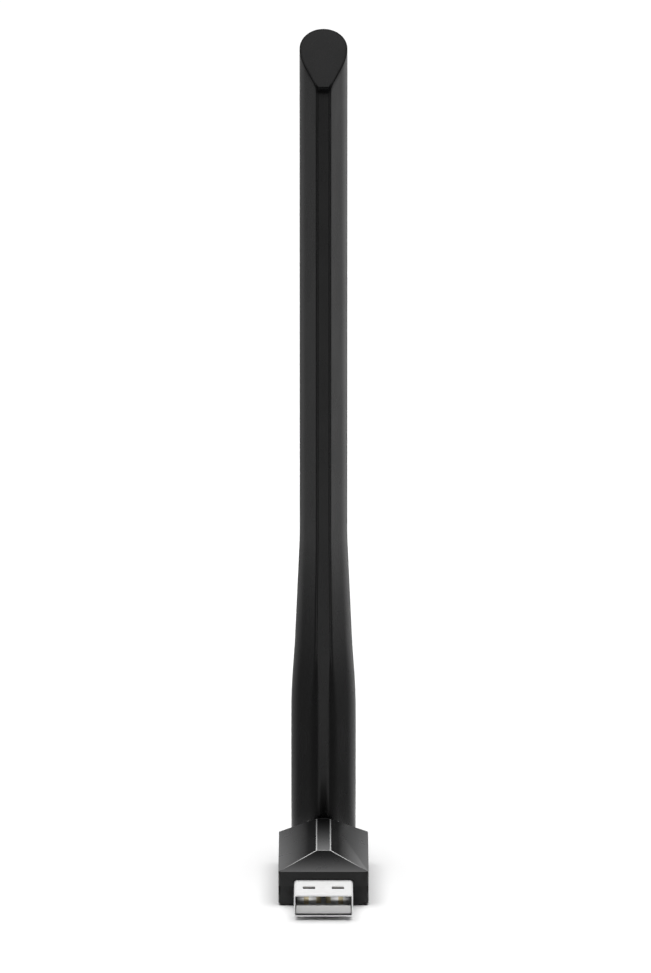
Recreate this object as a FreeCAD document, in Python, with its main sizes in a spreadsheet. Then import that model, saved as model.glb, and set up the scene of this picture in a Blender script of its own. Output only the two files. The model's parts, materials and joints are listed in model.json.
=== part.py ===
import FreeCAD, Part
import math
import os

import Sketcher

# A USB wireless adapter: a small hipped case with a USB type-A plug at the front,
# and a tall antenna at the back that folds on a hinge and turns on a swivel.
#
# Frame, in millimetres: +X to the right, -Y where the plug points, +Z up.
# The origin is the centre of the base of the box round the whole object.

# The sizes that drive everything else.
DRIVING = {
    # plug
    "plug_width": 12.0,
    "plug_height": 4.5,
    "plug_reach": 12.0,
    "plug_bottom": 0.8,
    "plug_sheet": 0.3,
    "plug_corner": 0.65,
    "plug_inside": 7.4,
    "window_width": 2.5,
    "window_length": 2.0,
    "window_setback": 5.2,
    "window_centre": 2.95,
    "tongue_width": 11.2,
    "tongue_bottom": 1.3,
    "tongue_top": 3.05,
    "tongue_setback": 0.4,
    "contact_width": 1.0,
    "contact_thick": 0.25,
    "contact_proud": 0.05,
    "contact_setback": 1.2,
    # case
    "case_width": 18.4,
    "case_length": 33.3,
    "case_wall": 1.2,
    "side_foot": 0.5,
    "side_top": 7.1,
    "ridge_top": 9.8,
    "ridge_width": 2.85,
    "ridge_setback": 7.2,
    "flat_width": 12.0,
    "seam_height": 4.1,
    "corner_round": 0.5,
    "lip_height": 0.5,
    "lip_wall": 0.55,
    "plate_recess": 0.15,
    "plate_thick": 0.12,
    "plate_width": 10.0,
    "plate_length": 20.0,
    # board and what is on it
    "board_thick": 0.8,
    "board_width": 15.0,
    "board_length": 20.5,
    "peg_radius": 0.5,
    "peg_spread": 6.2,
    "can_width": 11.0,
    "can_length": 10.0,
    "can_height": 2.0,
    "can_sheet": 0.2,
    "chip_side": 6.5,
    "chip_height": 0.9,
    # swivel and hinge
    "joint_gap": 2.3,
    "stub_radius": 2.4,
    "bore_radius": 1.2,
    "fit_gap": 0.06,
    "collar_radius": 4.6,
    "collar_thick": 1.1,
    "collar_gap": 0.1,
    "groove_radius": 1.9,
    "ring_radius": 3.2,
    "ring_thick": 0.6,
    "washer_thick": 0.25,
    "lug_width": 6.0,
    "lug_radius": 3.3,
    "slot_width": 6.4,
    "slot_radius": 3.5,
    "pin_radius": 1.5,
    "pin_inner": 1.3,
    "pin_outer": 4.6,
    "hinge_washer_thick": 0.15,
    "hinge_washer_radius": 2.8,
    # antenna
    "antenna_depth": 10.2,
    "tip_height": 173.4,
    "tip_rise": 10.8,
    "blade_width": 9.8,
    "base_width": 13.35,
    "flare_low": 29.0,
    "flare_high": 67.5,
    "strip_width": 2.45,
    "base_strip_width": 3.3,
    "facet_depth": 3.6,
    "facet_slope": 0.68,
    "widest_depth": 6.95,
    "heel_radius": 5.0,
    "sleeve_wall": 1.0,
    "rim_wall": 0.3,
    "cavity_floor": 16.0,
    "cap_thick": 1.2,
    # lead and radiator
    "coax_radius": 0.685,
    "coax_bend": 3.3,
    "feed_height": 84.0,
    "strip_board_width": 6.0,
    "strip_board_thick": 0.6,
    "strip_board_low": 30.0,
    "strip_board_high": 142.0,
    "trace_thick": 0.1,
}


def derived_places(size):
    """The places along the object that follow from its driving sizes."""
    place = {}
    depth = size["plug_reach"] + size["case_length"] + size["joint_gap"] + size["antenna_depth"]
    place["plug_front"] = -depth / 2
    place["case_front"] = place["plug_front"] + size["plug_reach"]
    place["case_rear"] = place["case_front"] + size["case_length"]
    place["strip_face"] = place["case_rear"] + size["joint_gap"]
    place["back_face"] = place["strip_face"] + size["antenna_depth"]
    place["ridge_front"] = place["case_front"] + size["ridge_setback"]
    place["plug_top"] = size["plug_bottom"] + size["plug_height"]
    place["plug_rear"] = place["case_front"] + size["plug_inside"]
    place["contact_bottom"] = size["tongue_top"] + size["contact_proud"] - size["contact_thick"]
    place["board_top"] = place["contact_bottom"]
    place["board_bottom"] = place["board_top"] - size["board_thick"]
    place["board_front"] = place["plug_rear"] + 0.4
    place["board_rear"] = place["board_front"] + size["board_length"]
    place["collar_front"] = place["case_rear"] + size["collar_gap"]
    place["collar_rear"] = place["collar_front"] + size["collar_thick"]
    place["wall_inside"] = place["case_rear"] - size["case_wall"]
    place["hinge_y"] = place["strip_face"] + size["antenna_depth"] / 2
    place["hinge_z"] = size["antenna_depth"] / 2
    place["stub_end"] = place["wall_inside"] - 1.3
    place["coax_join"] = place["wall_inside"] - 0.2
    place["tip_angle"] = math.degrees(math.atan2(size["tip_rise"], size["antenna_depth"]))
    place["strip_board_front"] = place["hinge_y"] + size["coax_radius"] + 0.02
    return place


SIZE = dict(DRIVING)
SIZE.update(derived_places(DRIVING))

document = FreeCAD.newDocument("wireless_adapter")
nodes = []


# ---------------------------------------------------------------- the sheet of sizes

def fill_sheet():
    """Puts every size in a cell of its own, under its own name."""
    sheet = document.addObject("Spreadsheet::Sheet", "sizes")
    for row, (name, value) in enumerate(SIZE.items(), start=1):
        sheet.set(f"A{row}", name)
        sheet.set(f"B{row}", f"{value:.6g}")
        sheet.setAlias(f"B{row}", name)
    document.recompute()


# ---------------------------------------------------------------- helpers: solids

def block(name, low, high):
    """A box between two corners, each given as three formulas on the sheet."""
    box = document.addObject("Part::Box", name)
    for side, start, end in zip(("Length", "Width", "Height"), low, high):
        box.setExpression(side, f"({end}) - ({start})")
    for axis, start in zip("xyz", low):
        box.setExpression(f"Placement.Base.{axis}", start)
    return box


TURNS = {
    "x": FreeCAD.Rotation(FreeCAD.Vector(0, 1, 0), 90),
    "y": FreeCAD.Rotation(FreeCAD.Vector(1, 0, 0), -90),
    "z": FreeCAD.Rotation(),
}


def rod(name, along, radius, start, length):
    """A cylinder from a start point (three formulas) along the x, y or z axis."""
    cylinder = document.addObject("Part::Cylinder", name)
    cylinder.Placement = FreeCAD.Placement(FreeCAD.Vector(), TURNS[along])
    cylinder.setExpression("Radius", radius)
    cylinder.setExpression("Height", length)
    for axis, formula in zip("xyz", start):
        cylinder.setExpression(f"Placement.Base.{axis}", formula)
    return cylinder


def joined(name, solids):
    fuse = document.addObject("Part::MultiFuse", name)
    fuse.Shapes = solids
    fuse.Refine = True
    return fuse


def grouped(name, solids):
    """Several solids that stay apart, as one object."""
    group = document.addObject("Part::Compound", name)
    group.Links = solids
    return group


def shared(name, solids):
    common = document.addObject("Part::MultiCommon", name)
    common.Shapes = solids
    return common


def without(name, base, tools):
    """The base with every tool cut out of it."""
    cut = document.addObject("Part::Cut", name)
    cut.Base = base
    cut.Tool = tools[0] if len(tools) == 1 else joined(name + "_tools", tools)
    return cut


def node(name, thing):
    """Marks a finished sub-part: its label is the name of its file."""
    thing.Label = name
    nodes.append(thing)
    return thing


# ---------------------------------------------------------------- helpers: sketches

def new_sketch(body, name, role, offset="0"):
    """A sketch on one of the body's own origin planes, moved along its normal."""
    sketch = body.newObject("Sketcher::SketchObject", name)
    plane = next(item for item in body.Origin.OriginFeatures if item.Role == role)
    sketch.AttachmentSupport = [(plane, "")]
    sketch.MapMode = "FlatFace"
    sketch.setExpression("AttachmentOffset.Base.z", offset)
    return sketch


def pin_point(sketch, geometry, which, formulas):
    """Ties a point of the sketch to the sheet, as its distances from the origin."""
    for kind, formula in zip(("DistanceX", "DistanceY"), formulas):
        constraint = Sketcher.Constraint(kind, -1, 1, geometry, which, 1.0)
        number = sketch.addConstraint(constraint)
        sketch.setExpression(f"Constraints[{number}]", formula)


def draw_outline(sketch, corners):
    """Closes straight sides through the corners, each corner a pair of formulas."""
    count = len(corners)
    turn = 2 * math.pi / count
    spots = [FreeCAD.Vector(math.cos(turn * i), math.sin(turn * i), 0) for i in range(count)]
    first = sketch.GeometryCount
    for index in range(count):
        sketch.addGeometry(Part.LineSegment(spots[index], spots[(index + 1) % count]))
    for index, corner in enumerate(corners):
        here = first + index
        there = first + (index + 1) % count
        sketch.addConstraint(Sketcher.Constraint("Coincident", here, 2, there, 1))
        pin_point(sketch, here, 1, corner)


def draw_rectangle(sketch, low, high):
    draw_outline(sketch, [low, (high[0], low[1]), high, (low[0], high[1])])


def draw_circle(sketch, centre, radius):
    circle = Part.Circle(FreeCAD.Vector(1, 1, 0), FreeCAD.Vector(0, 0, 1), 1.0)
    geometry = sketch.addGeometry(circle)
    pin_point(sketch, geometry, 3, centre)
    number = sketch.addConstraint(Sketcher.Constraint("Radius", geometry, 1.0))
    sketch.setExpression(f"Constraints[{number}]", radius)


def extrude(body, kind, sketch, length, reverse=False, both_ways=False):
    """A Pad or a Pocket of the sketch. It must change the solid's volume."""
    document.recompute()
    before = body.Shape.Volume if body.Tip else 0.0
    feature = body.newObject(f"PartDesign::{kind}", f"{sketch.Name}_{kind.lower()}")
    feature.Profile = sketch
    feature.setExpression("Length", length)
    feature.Reversed = reverse
    if both_ways:
        feature.SideType = "Symmetric"
    body.Tip = feature
    document.recompute()
    change = body.Shape.Volume - before
    wanted = 1 if kind == "Pad" else -1
    if change * wanted <= 0:
        raise RuntimeError(f"{feature.Name} changes nothing")
    return feature


def edges_where(shape, test):
    return [f"Edge{i}" for i, edge in enumerate(shape.Edges, start=1) if test(edge)]


def runs_along(edge, axis):
    """True if the edge is straight and lies along x, y or z."""
    if not isinstance(edge.Curve, Part.Line):
        return False
    return abs(abs(getattr(edge.Curve.Direction, axis)) - 1) < 1e-6


def dress(body, kind, base, test, size_name, formula):
    """A Fillet or a Chamfer on the edges of the base that pass the test."""
    feature = body.newObject(f"PartDesign::{kind}", f"{body.Name}_{kind.lower()}")
    feature.Base = (base, edges_where(base.Shape, test))
    feature.setExpression(size_name, formula)
    body.Tip = feature
    document.recompute()
    return feature


def new_body(name):
    return document.addObject("PartDesign::Body", name + "_body")


# ---------------------------------------------------------------- the case

CASE_HALF = "sizes.case_width / 2"
RIDGE_HALF = "sizes.ridge_width / 2"


def make_top_shell():
    """The roof: two side slopes and a front slope that meet a narrow flat ridge."""
    body = new_body("top_shell")
    wall = "sizes.case_wall"
    roof_drop = "sizes.case_wall * 1.06"

    section = new_sketch(body, "roof_section", "XZ_Plane", "-sizes.case_rear")
    draw_outline(section, [
        (f"-{CASE_HALF}", "sizes.seam_height"),
        (CASE_HALF, "sizes.seam_height"),
        (CASE_HALF, "sizes.side_top"),
        (RIDGE_HALF, "sizes.ridge_top"),
        (f"-{RIDGE_HALF}", "sizes.ridge_top"),
        (f"-{CASE_HALF}", "sizes.side_top"),
    ])
    extrude(body, "Pad", section, "sizes.case_length")

    slope = new_sketch(body, "front_slope", "YZ_Plane")
    draw_outline(slope, [
        ("sizes.case_front", "sizes.side_top"),
        ("sizes.ridge_front", "sizes.ridge_top"),
        ("sizes.ridge_front", "sizes.ridge_top + 1"),
        ("sizes.case_front - 1", "sizes.ridge_top + 1"),
        ("sizes.case_front - 1", "sizes.side_top"),
    ])
    roof = extrude(body, "Pocket", slope, "sizes.case_width + 2", both_ways=True)

    def front_corner(edge):
        middle = edge.CenterOfMass
        at_front = abs(middle.y - SIZE["case_front"]) < 1e-4
        return at_front and runs_along(edge, "z")

    dress(body, "Fillet", roof, front_corner, "Radius", "sizes.corner_round")

    attic = new_sketch(body, "attic", "XZ_Plane", "-sizes.wall_inside")
    draw_outline(attic, [
        (f"-{CASE_HALF} + {wall}", "sizes.seam_height"),
        (f"{CASE_HALF} - {wall}", "sizes.seam_height"),
        (f"{CASE_HALF} - {wall}", f"sizes.side_top - {roof_drop} + 0.4"),
        (RIDGE_HALF, f"sizes.ridge_top - {roof_drop}"),
        (f"-{RIDGE_HALF}", f"sizes.ridge_top - {roof_drop}"),
        (f"-{CASE_HALF} + {wall}", f"sizes.side_top - {roof_drop} + 0.4"),
    ])
    extrude(body, "Pocket", attic, "sizes.wall_inside - sizes.ridge_front", reverse=True)

    bay = new_sketch(body, "front_bay", "XZ_Plane", "-sizes.ridge_front")
    draw_rectangle(bay, (f"-{CASE_HALF} + {wall}", "sizes.seam_height"),
                   (f"{CASE_HALF} - {wall}", f"sizes.side_top - {roof_drop} + 0.3"))
    extrude(body, "Pocket", bay, f"sizes.ridge_front - sizes.case_front - {wall}", reverse=True)

    rebate = new_sketch(body, "lip_rebate", "XY_Plane", "sizes.seam_height")
    inset = "(sizes.case_wall - sizes.lip_wall - 0.05)"
    draw_rectangle(rebate, (f"-{CASE_HALF} + {inset}", f"sizes.case_front + {inset}"),
                   (f"{CASE_HALF} - {inset}", f"sizes.case_rear - {inset}"))
    extrude(body, "Pocket", rebate, "sizes.lip_height + 0.05", reverse=True)

    mouth = new_sketch(body, "plug_mouth_above", "XZ_Plane", "-sizes.case_front")
    draw_rectangle(mouth, ("-sizes.plug_width / 2 - 0.1", "sizes.seam_height"),
                   ("sizes.plug_width / 2 + 0.1", "sizes.plug_top + 0.1"))
    extrude(body, "Pocket", mouth, "sizes.case_wall")

    hole = new_sketch(body, "swivel_hole_above", "XZ_Plane", "-sizes.case_rear")
    draw_circle(hole, ("0", "sizes.hinge_z"), "sizes.stub_radius + sizes.fit_gap")
    extrude(body, "Pocket", hole, "sizes.case_wall", reverse=True)
    node("top_shell", body)


def make_bottom_shell():
    """The tray: a flat underside with two shallow bevels, pegs, a lip and the plug's bed."""
    body = new_body("bottom_shell")
    wall = "sizes.case_wall"

    section = new_sketch(body, "tray_section", "XZ_Plane", "-sizes.case_rear")
    draw_outline(section, [
        ("-sizes.flat_width / 2", "0"),
        ("sizes.flat_width / 2", "0"),
        (CASE_HALF, "sizes.side_foot"),
        (CASE_HALF, "sizes.seam_height"),
        (f"-{CASE_HALF}", "sizes.seam_height"),
        (f"-{CASE_HALF}", "sizes.side_foot"),
    ])
    tray = extrude(body, "Pad", section, "sizes.case_length")

    def front_corner(edge):
        middle = edge.CenterOfMass
        at_front = abs(middle.y - SIZE["case_front"]) < 1e-4
        return at_front and runs_along(edge, "z")

    dress(body, "Fillet", tray, front_corner, "Radius", "sizes.corner_round")

    lip = new_sketch(body, "lip", "XY_Plane", "sizes.seam_height")
    inset = "(sizes.case_wall - sizes.lip_wall)"
    draw_rectangle(lip, (f"-{CASE_HALF} + {inset}", f"sizes.case_front + {inset}"),
                   (f"{CASE_HALF} - {inset}", f"sizes.case_rear - {inset}"))
    extrude(body, "Pad", lip, "sizes.lip_height")

    room = new_sketch(body, "tray_room", "XY_Plane", "sizes.seam_height + sizes.lip_height")
    draw_rectangle(room, (f"-{CASE_HALF} + {wall}", f"sizes.case_front + {wall}"),
                   (f"{CASE_HALF} - {wall}", "sizes.wall_inside"))
    extrude(body, "Pocket", room, f"sizes.seam_height + sizes.lip_height - {wall}")

    post = new_sketch(body, "board_posts", "XY_Plane", wall)
    for side in ("-", ""):
        for row in ("sizes.board_front + 3", "sizes.board_rear - 3"):
            draw_circle(post, (f"{side}sizes.peg_spread", row), "sizes.peg_radius * 2")
    extrude(body, "Pad", post, f"sizes.board_bottom - {wall}")

    peg = new_sketch(body, "board_pegs", "XY_Plane", "sizes.board_bottom")
    for side in ("-", ""):
        for row in ("sizes.board_front + 3", "sizes.board_rear - 3"):
            draw_circle(peg, (f"{side}sizes.peg_spread", row), "sizes.peg_radius")
    extrude(body, "Pad", peg, "sizes.board_thick + 0.3")

    bed = new_sketch(body, "plug_bed", "XY_Plane", "sizes.seam_height + sizes.lip_height")
    draw_rectangle(bed, ("-sizes.plug_width / 2 - 0.1", "sizes.case_front - 1"),
                   ("sizes.plug_width / 2 + 0.1", "sizes.plug_rear + 0.2"))
    extrude(body, "Pocket", bed,
            "sizes.seam_height + sizes.lip_height - sizes.plug_bottom + 0.1")

    hole = new_sketch(body, "swivel_hole_below", "XZ_Plane", "-sizes.case_rear")
    draw_circle(hole, ("0", "sizes.hinge_z"), "sizes.stub_radius + sizes.fit_gap")
    extrude(body, "Pocket", hole, "sizes.case_wall", reverse=True)

    recess = new_sketch(body, "plate_recess", "XY_Plane")
    draw_rectangle(recess, ("-sizes.plate_width / 2 - 0.1", "-sizes.plate_length / 2 - 0.1"),
                   ("sizes.plate_width / 2 + 0.1", "sizes.plate_length / 2 + 0.1"))
    extrude(body, "Pocket", recess, "sizes.plate_recess", reverse=True)
    node("bottom_shell", body)


def make_rating_plate():
    """A blank plate in the recess under the case, just clear of the table."""
    low = ("-sizes.plate_width / 2", "-sizes.plate_length / 2",
           "sizes.plate_recess - sizes.plate_thick")
    high = ("sizes.plate_width / 2", "sizes.plate_length / 2", "sizes.plate_recess")
    node("rating_plate", block("rating_plate_sheet", low, high))


# ---------------------------------------------------------------- the plug

CONTACT_ROW = {
    "outer_left": ("-3.5", "0"),
    "inner_left": ("-1.0", "1.0"),
    "inner_right": ("1.0", "1.0"),
    "outer_right": ("3.5", "0"),
}


def make_plug_shell():
    """Folded sheet round the tongue, with latch windows above and below and two side legs."""
    body = new_body("plug_shell")
    half = "sizes.plug_width / 2"
    sheet = "sizes.plug_sheet"

    outside = new_sketch(body, "shell_outside", "XZ_Plane", "-sizes.plug_rear")
    draw_rectangle(outside, (f"-{half}", "sizes.plug_bottom"), (half, "sizes.plug_top"))
    bar = extrude(body, "Pad", outside, "sizes.plug_rear - sizes.plug_front")
    rounded = dress(body, "Fillet", bar, lambda edge: runs_along(edge, "y"),
                    "Radius", "sizes.plug_corner")

    inside = new_sketch(body, "shell_inside", "XZ_Plane", "-sizes.plug_rear")
    draw_rectangle(inside, (f"-{half} + {sheet}", f"sizes.plug_bottom + {sheet}"),
                   (f"{half} - {sheet}", f"sizes.plug_top - {sheet}"))
    tube = extrude(body, "Pocket", inside, "sizes.plug_rear - sizes.plug_front", reverse=True)

    def inner_corner(edge):
        middle = edge.CenterOfMass
        near_side = abs(abs(middle.x) - SIZE["plug_width"] / 2 + SIZE["plug_sheet"]) < 1e-4
        return near_side and runs_along(edge, "y")

    inner = body.newObject("PartDesign::Fillet", "plug_shell_inner_fillet")
    inner.Base = (tube, edges_where(tube.Shape, inner_corner))
    inner.setExpression("Radius", "sizes.plug_corner - sizes.plug_sheet")
    body.Tip = inner
    document.recompute()

    windows = new_sketch(body, "latch_windows", "XY_Plane")
    near = "sizes.plug_front + sizes.window_setback"
    far = f"{near} + sizes.window_length"
    draw_rectangle(windows, ("-sizes.window_centre - sizes.window_width / 2", near),
                   ("-sizes.window_centre + sizes.window_width / 2", far))
    draw_rectangle(windows, ("sizes.window_centre - sizes.window_width / 2", near),
                   ("sizes.window_centre + sizes.window_width / 2", far))
    extrude(body, "Pocket", windows, "sizes.plug_top + 1", reverse=True)

    legs = []
    for side, low_x in (("left", f"-{half}"), ("right", f"{half} - {sheet}")):
        low = (low_x, "sizes.plug_rear - 0.1", "sizes.board_top")
        high = (f"{low_x} + {sheet}", "sizes.board_front + 2.2", "sizes.board_top + 1.4")
        legs.append(block(f"shell_leg_{side}", low, high))
    node("plug_shell", joined("plug_shell_with_legs", [body] + legs))


def contact_blocks(prefix, from_front):
    """The four contact strips as boxes, the outer two reaching further forward."""
    strips = []
    for name, (centre, further_back) in CONTACT_ROW.items():
        front = f"sizes.plug_front + ({from_front}) + {further_back}"
        low = (f"{centre} - sizes.contact_width / 2", front, "sizes.contact_bottom")
        high = (f"{centre} + sizes.contact_width / 2", "sizes.board_front + 1.6",
                "sizes.contact_bottom + sizes.contact_thick")
        strips.append(block(f"{prefix}_{name}", low, high))
    return strips


def make_plug_core():
    """The moulded tongue with its rear block, and the four contacts let into it."""
    tongue = block("tongue",
                   ("-sizes.tongue_width / 2", "sizes.plug_front + sizes.tongue_setback",
                    "sizes.tongue_bottom"),
                   ("sizes.tongue_width / 2", "sizes.plug_rear", "sizes.tongue_top"))
    rear_block = block("tongue_rear_block",
                       ("-sizes.tongue_width / 2 + 0.15", "sizes.case_front + 1.4",
                        "sizes.plug_bottom + sizes.plug_sheet + 0.05"),
                       ("sizes.tongue_width / 2 - 0.15", "sizes.plug_rear",
                        "sizes.plug_top - sizes.plug_sheet - 0.05"))
    moulding = joined("tongue_moulding", [tongue, rear_block])
    channels = contact_blocks("channel", "sizes.contact_setback")
    node("plug_insulator", without("tongue_with_channels", moulding, channels))
    strips = contact_blocks("contact", "sizes.contact_setback")
    node("plug_contacts", grouped("contact_strips", strips))


# ---------------------------------------------------------------- the board

def make_main_board():
    """The circuit board, drilled for the four pegs of the tray."""
    body = new_body("main_board")
    outline = new_sketch(body, "board_outline", "XY_Plane", "sizes.board_bottom")
    half = "sizes.board_width / 2"
    notch = "3.0"
    draw_outline(outline, [
        (f"-{half}", "sizes.board_front"),
        (half, "sizes.board_front"),
        (half, "sizes.board_rear - 1"),
        (f"{half} - 1", "sizes.board_rear"),
        (notch, "sizes.board_rear"),
        (notch, "sizes.board_rear - 1.5"),
        (f"-{notch}", "sizes.board_rear - 1.5"),
        (f"-{notch}", "sizes.board_rear"),
        (f"-{half} + 1", "sizes.board_rear"),
        (f"-{half}", "sizes.board_rear - 1"),
    ])
    extrude(body, "Pad", outline, "sizes.board_thick")
    holes = new_sketch(body, "board_holes", "XY_Plane", "sizes.board_bottom")
    for side in ("-", ""):
        for row in ("sizes.board_front + 3", "sizes.board_rear - 3"):
            draw_circle(holes, (f"{side}sizes.peg_spread", row), "sizes.peg_radius + 0.05")
    extrude(body, "Pocket", holes, "sizes.board_thick", reverse=True)
    node("main_board", body)


def on_board(name, centre_x, centre_y, width, length, height):
    """A block part soldered on the board's top face."""
    low = (f"{centre_x} - {width} / 2", f"{centre_y} - {length} / 2", "sizes.board_top")
    high = (f"{centre_x} + {width} / 2", f"{centre_y} + {length} / 2",
            f"sizes.board_top + {height}")
    return block(name, low, high)


CAN_CENTRE = "1.6"


def make_shield_can():
    """A five-sided stamped can over the radio."""
    body = new_body("shield_can")
    outside = new_sketch(body, "can_outside", "XY_Plane", "sizes.board_top")
    draw_rectangle(outside,
                   ("-sizes.can_width / 2", f"{CAN_CENTRE} - sizes.can_length / 2"),
                   ("sizes.can_width / 2", f"{CAN_CENTRE} + sizes.can_length / 2"))
    drum = extrude(body, "Pad", outside, "sizes.can_height")

    def upper_edge(edge):
        return edge.BoundBox.ZMin > SIZE["board_top"] + 0.1 or runs_along(edge, "z")

    dress(body, "Fillet", drum, upper_edge, "Radius", "sizes.can_sheet * 1.5")
    inside = new_sketch(body, "can_inside", "XY_Plane", "sizes.board_top")
    sheet = "sizes.can_sheet"
    draw_rectangle(inside,
                   (f"-sizes.can_width / 2 + {sheet}",
                    f"{CAN_CENTRE} - sizes.can_length / 2 + {sheet}"),
                   (f"sizes.can_width / 2 - {sheet}",
                    f"{CAN_CENTRE} + sizes.can_length / 2 - {sheet}"))
    extrude(body, "Pocket", inside, f"sizes.can_height - {sheet}", reverse=True)
    node("shield_can", body)


def make_board_parts():
    """The chips, the choke and the small capacitors."""
    side = "sizes.chip_side"
    node("wifi_chip", on_board("radio_die", "-0.6", CAN_CENTRE, side, side, "sizes.chip_height"))
    node("crystal", on_board("crystal_can", "4.1", "-0.8", "2.0", "2.5", "0.7"))
    node("power_inductor", on_board("choke_block", "-4.2", "-5.9", "2.5", "2.0", "1.2"))
    node("voltage_regulator", on_board("regulator_block", "3.4", "-5.7", "3.0", "1.8", "1.1"))
    capacitors = []
    for index in range(4):
        across = f"{-1.6 + 1.0 * index:.1f}"
        capacitors.append(on_board(f"supply_capacitor_{index + 1}", across, "-5.4",
                                   "0.5", "1.0", "0.5"))
    for index in range(4):
        along = f"{1.2 + 1.2 * index:.1f}"
        capacitors.append(on_board(f"radio_capacitor_{index + 1}", "4.2", along,
                                   "1.0", "0.5", "0.5"))
    node("chip_capacitors", grouped("capacitor_group", capacitors))


# ---------------------------------------------------------------- the lead

def vector(y, z, x=0.0):
    return FreeCAD.Vector(x, y, z)


def rounded_path(points, radii):
    """Straight runs through the points, joined at each inner point by a tangent arc."""
    edges = []
    start = points[0]
    for before, corner, after, radius in zip(points, points[1:], points[2:], radii):
        back = (before - corner).normalize()
        onward = (after - corner).normalize()
        half_turn = (math.pi - back.getAngle(onward)) / 2
        reach = radius * math.tan(half_turn)
        enter = corner + back * reach
        leave = corner + onward * reach
        inward = (back + onward).normalize()
        middle = corner + inward * (radius / math.cos(half_turn) - radius)
        if (enter - start).Length > 1e-6:
            edges.append(Part.LineSegment(start, enter).toShape())
        edges.append(Part.Arc(enter, middle, leave).toShape())
        start = leave
    if (points[-1] - start).Length > 1e-6:
        edges.append(Part.LineSegment(start, points[-1]).toShape())
    return Part.Wire(edges)


def tube_along(name, path):
    """A round lead along the path. Its volume is compared with section times length."""
    start = path.Edges[0].firstVertex().Point
    direction = path.Edges[0].tangentAt(path.Edges[0].FirstParameter)
    circle = Part.makeCircle(SIZE["coax_radius"], start, direction)
    solid = path.makePipeShell([Part.Wire([circle])], True, True)
    expected = math.pi * SIZE["coax_radius"] ** 2 * path.Length
    if abs(solid.Volume / expected - 1) > 0.01:
        raise RuntimeError(f"{name} has the wrong volume")
    feature = document.addObject("Part::Feature", name)
    feature.Shape = solid
    return feature


def make_lead():
    """The coaxial lead: along the board, through the hollow swivel and up the antenna."""
    size = SIZE
    low = size["board_top"] + size["coax_radius"] + 0.1
    axis = size["hinge_z"]
    join = size["coax_join"]
    solder = size["board_rear"] - 4.6
    bend_run = 2.6
    rise = axis - low
    turn = math.atan2(rise, join - solder - 2 * bend_run)
    bend = 0.45 * bend_run / math.tan(turn / 2)
    print(f"lead bends on radii {bend:.2f} and {size['coax_bend']:.2f} mm")
    path = rounded_path(
        [vector(solder, low), vector(solder + bend_run, low),
         vector(join - bend_run, axis), vector(join, axis)], [bend, bend])
    node("board_coax", tube_along("board_lead", path))

    bend_top = axis + size["coax_bend"] + 2.6
    path = rounded_path([vector(join, axis), vector(size["hinge_y"], axis),
                         vector(size["hinge_y"], bend_top)], [size["coax_bend"]])
    node("hinge_coax", tube_along("hinge_lead", path))

    riser = rod("antenna_lead", "z", "sizes.coax_radius",
                ("0", "sizes.hinge_y", f"{bend_top:.6g}"), f"sizes.feed_height - {bend_top:.6g}")
    node("antenna_coax", riser)

    saddle = block("clip_block",
                   ("-1.5", "sizes.board_rear - 4.2", "sizes.board_top"),
                   ("1.5", "sizes.board_rear - 2.8", "sizes.board_top + 1.7"))
    hole = rod("clip_hole", "y", "sizes.coax_radius",
               ("0", "sizes.board_rear - 5", "sizes.board_top + sizes.coax_radius + 0.1"), "3")
    node("coax_clip", without("clip_drilled", saddle, [hole]))


# ---------------------------------------------------------------- the swivel and hinge

def make_swivel_knuckle():
    """A hollow stub and collar on the swivel axis, with a lug for the fold hinge."""
    stub_length = "sizes.collar_front - sizes.stub_end + 0.2"
    stub = rod("knuckle_stub", "y", "sizes.stub_radius",
               ("0", "sizes.stub_end", "sizes.hinge_z"), stub_length)
    collar = rod("knuckle_collar", "y", "sizes.collar_radius",
                 ("0", "sizes.collar_front", "sizes.hinge_z"), "sizes.collar_thick")
    collar_round = document.addObject("Part::Fillet", "knuckle_collar_rounded")
    collar_round.Base = collar
    document.recompute()
    collar_round.Edges = [(1, 0.3, 0.3), (3, 0.3, 0.3)]
    neck = block("knuckle_neck",
                 ("-sizes.lug_width / 2", "sizes.collar_rear - 0.5",
                  "sizes.hinge_z - sizes.lug_radius"),
                 ("sizes.lug_width / 2", "sizes.hinge_y", "sizes.hinge_z + sizes.lug_radius"))
    in_collar = rod("knuckle_neck_round", "y", "sizes.collar_radius",
                    ("0", "sizes.collar_front", "sizes.hinge_z"), "10")
    neck_rounded = shared("knuckle_neck_trimmed", [neck, in_collar])
    lug = rod("knuckle_lug", "x", "sizes.lug_radius",
              ("-sizes.lug_width / 2", "sizes.hinge_y", "sizes.hinge_z"), "sizes.lug_width")
    solid = joined("knuckle_solid", [stub, collar_round, neck_rounded, lug])

    bore = rod("knuckle_bore", "y", "sizes.bore_radius",
               ("0", "sizes.stub_end - 1", "sizes.hinge_z"), "sizes.hinge_y - sizes.stub_end")
    sweep = block("lead_slot",
                  ("-1.1", "sizes.hinge_y - sizes.coax_bend + 0.6", "sizes.hinge_z - 1.1"),
                  ("1.1", "sizes.hinge_y + 6", "sizes.hinge_z + 6"))
    pin_hole = rod("knuckle_pin_hole", "x", "sizes.pin_radius + sizes.fit_gap",
                   ("-sizes.lug_width", "sizes.hinge_y", "sizes.hinge_z"), "sizes.lug_width * 2")
    groove_outer = rod("ring_groove_outer", "y", "sizes.stub_radius + 1",
                       ("0", "sizes.stub_end + 0.2", "sizes.hinge_z"), "sizes.ring_thick + 0.1")
    groove_inner = rod("ring_groove_inner", "y", "sizes.groove_radius",
                       ("0", "sizes.stub_end", "sizes.hinge_z"), "2")
    groove = without("ring_groove", groove_outer, [groove_inner])
    node("swivel_knuckle", without("knuckle_cut", solid, [bore, sweep, pin_hole, groove]))


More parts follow.
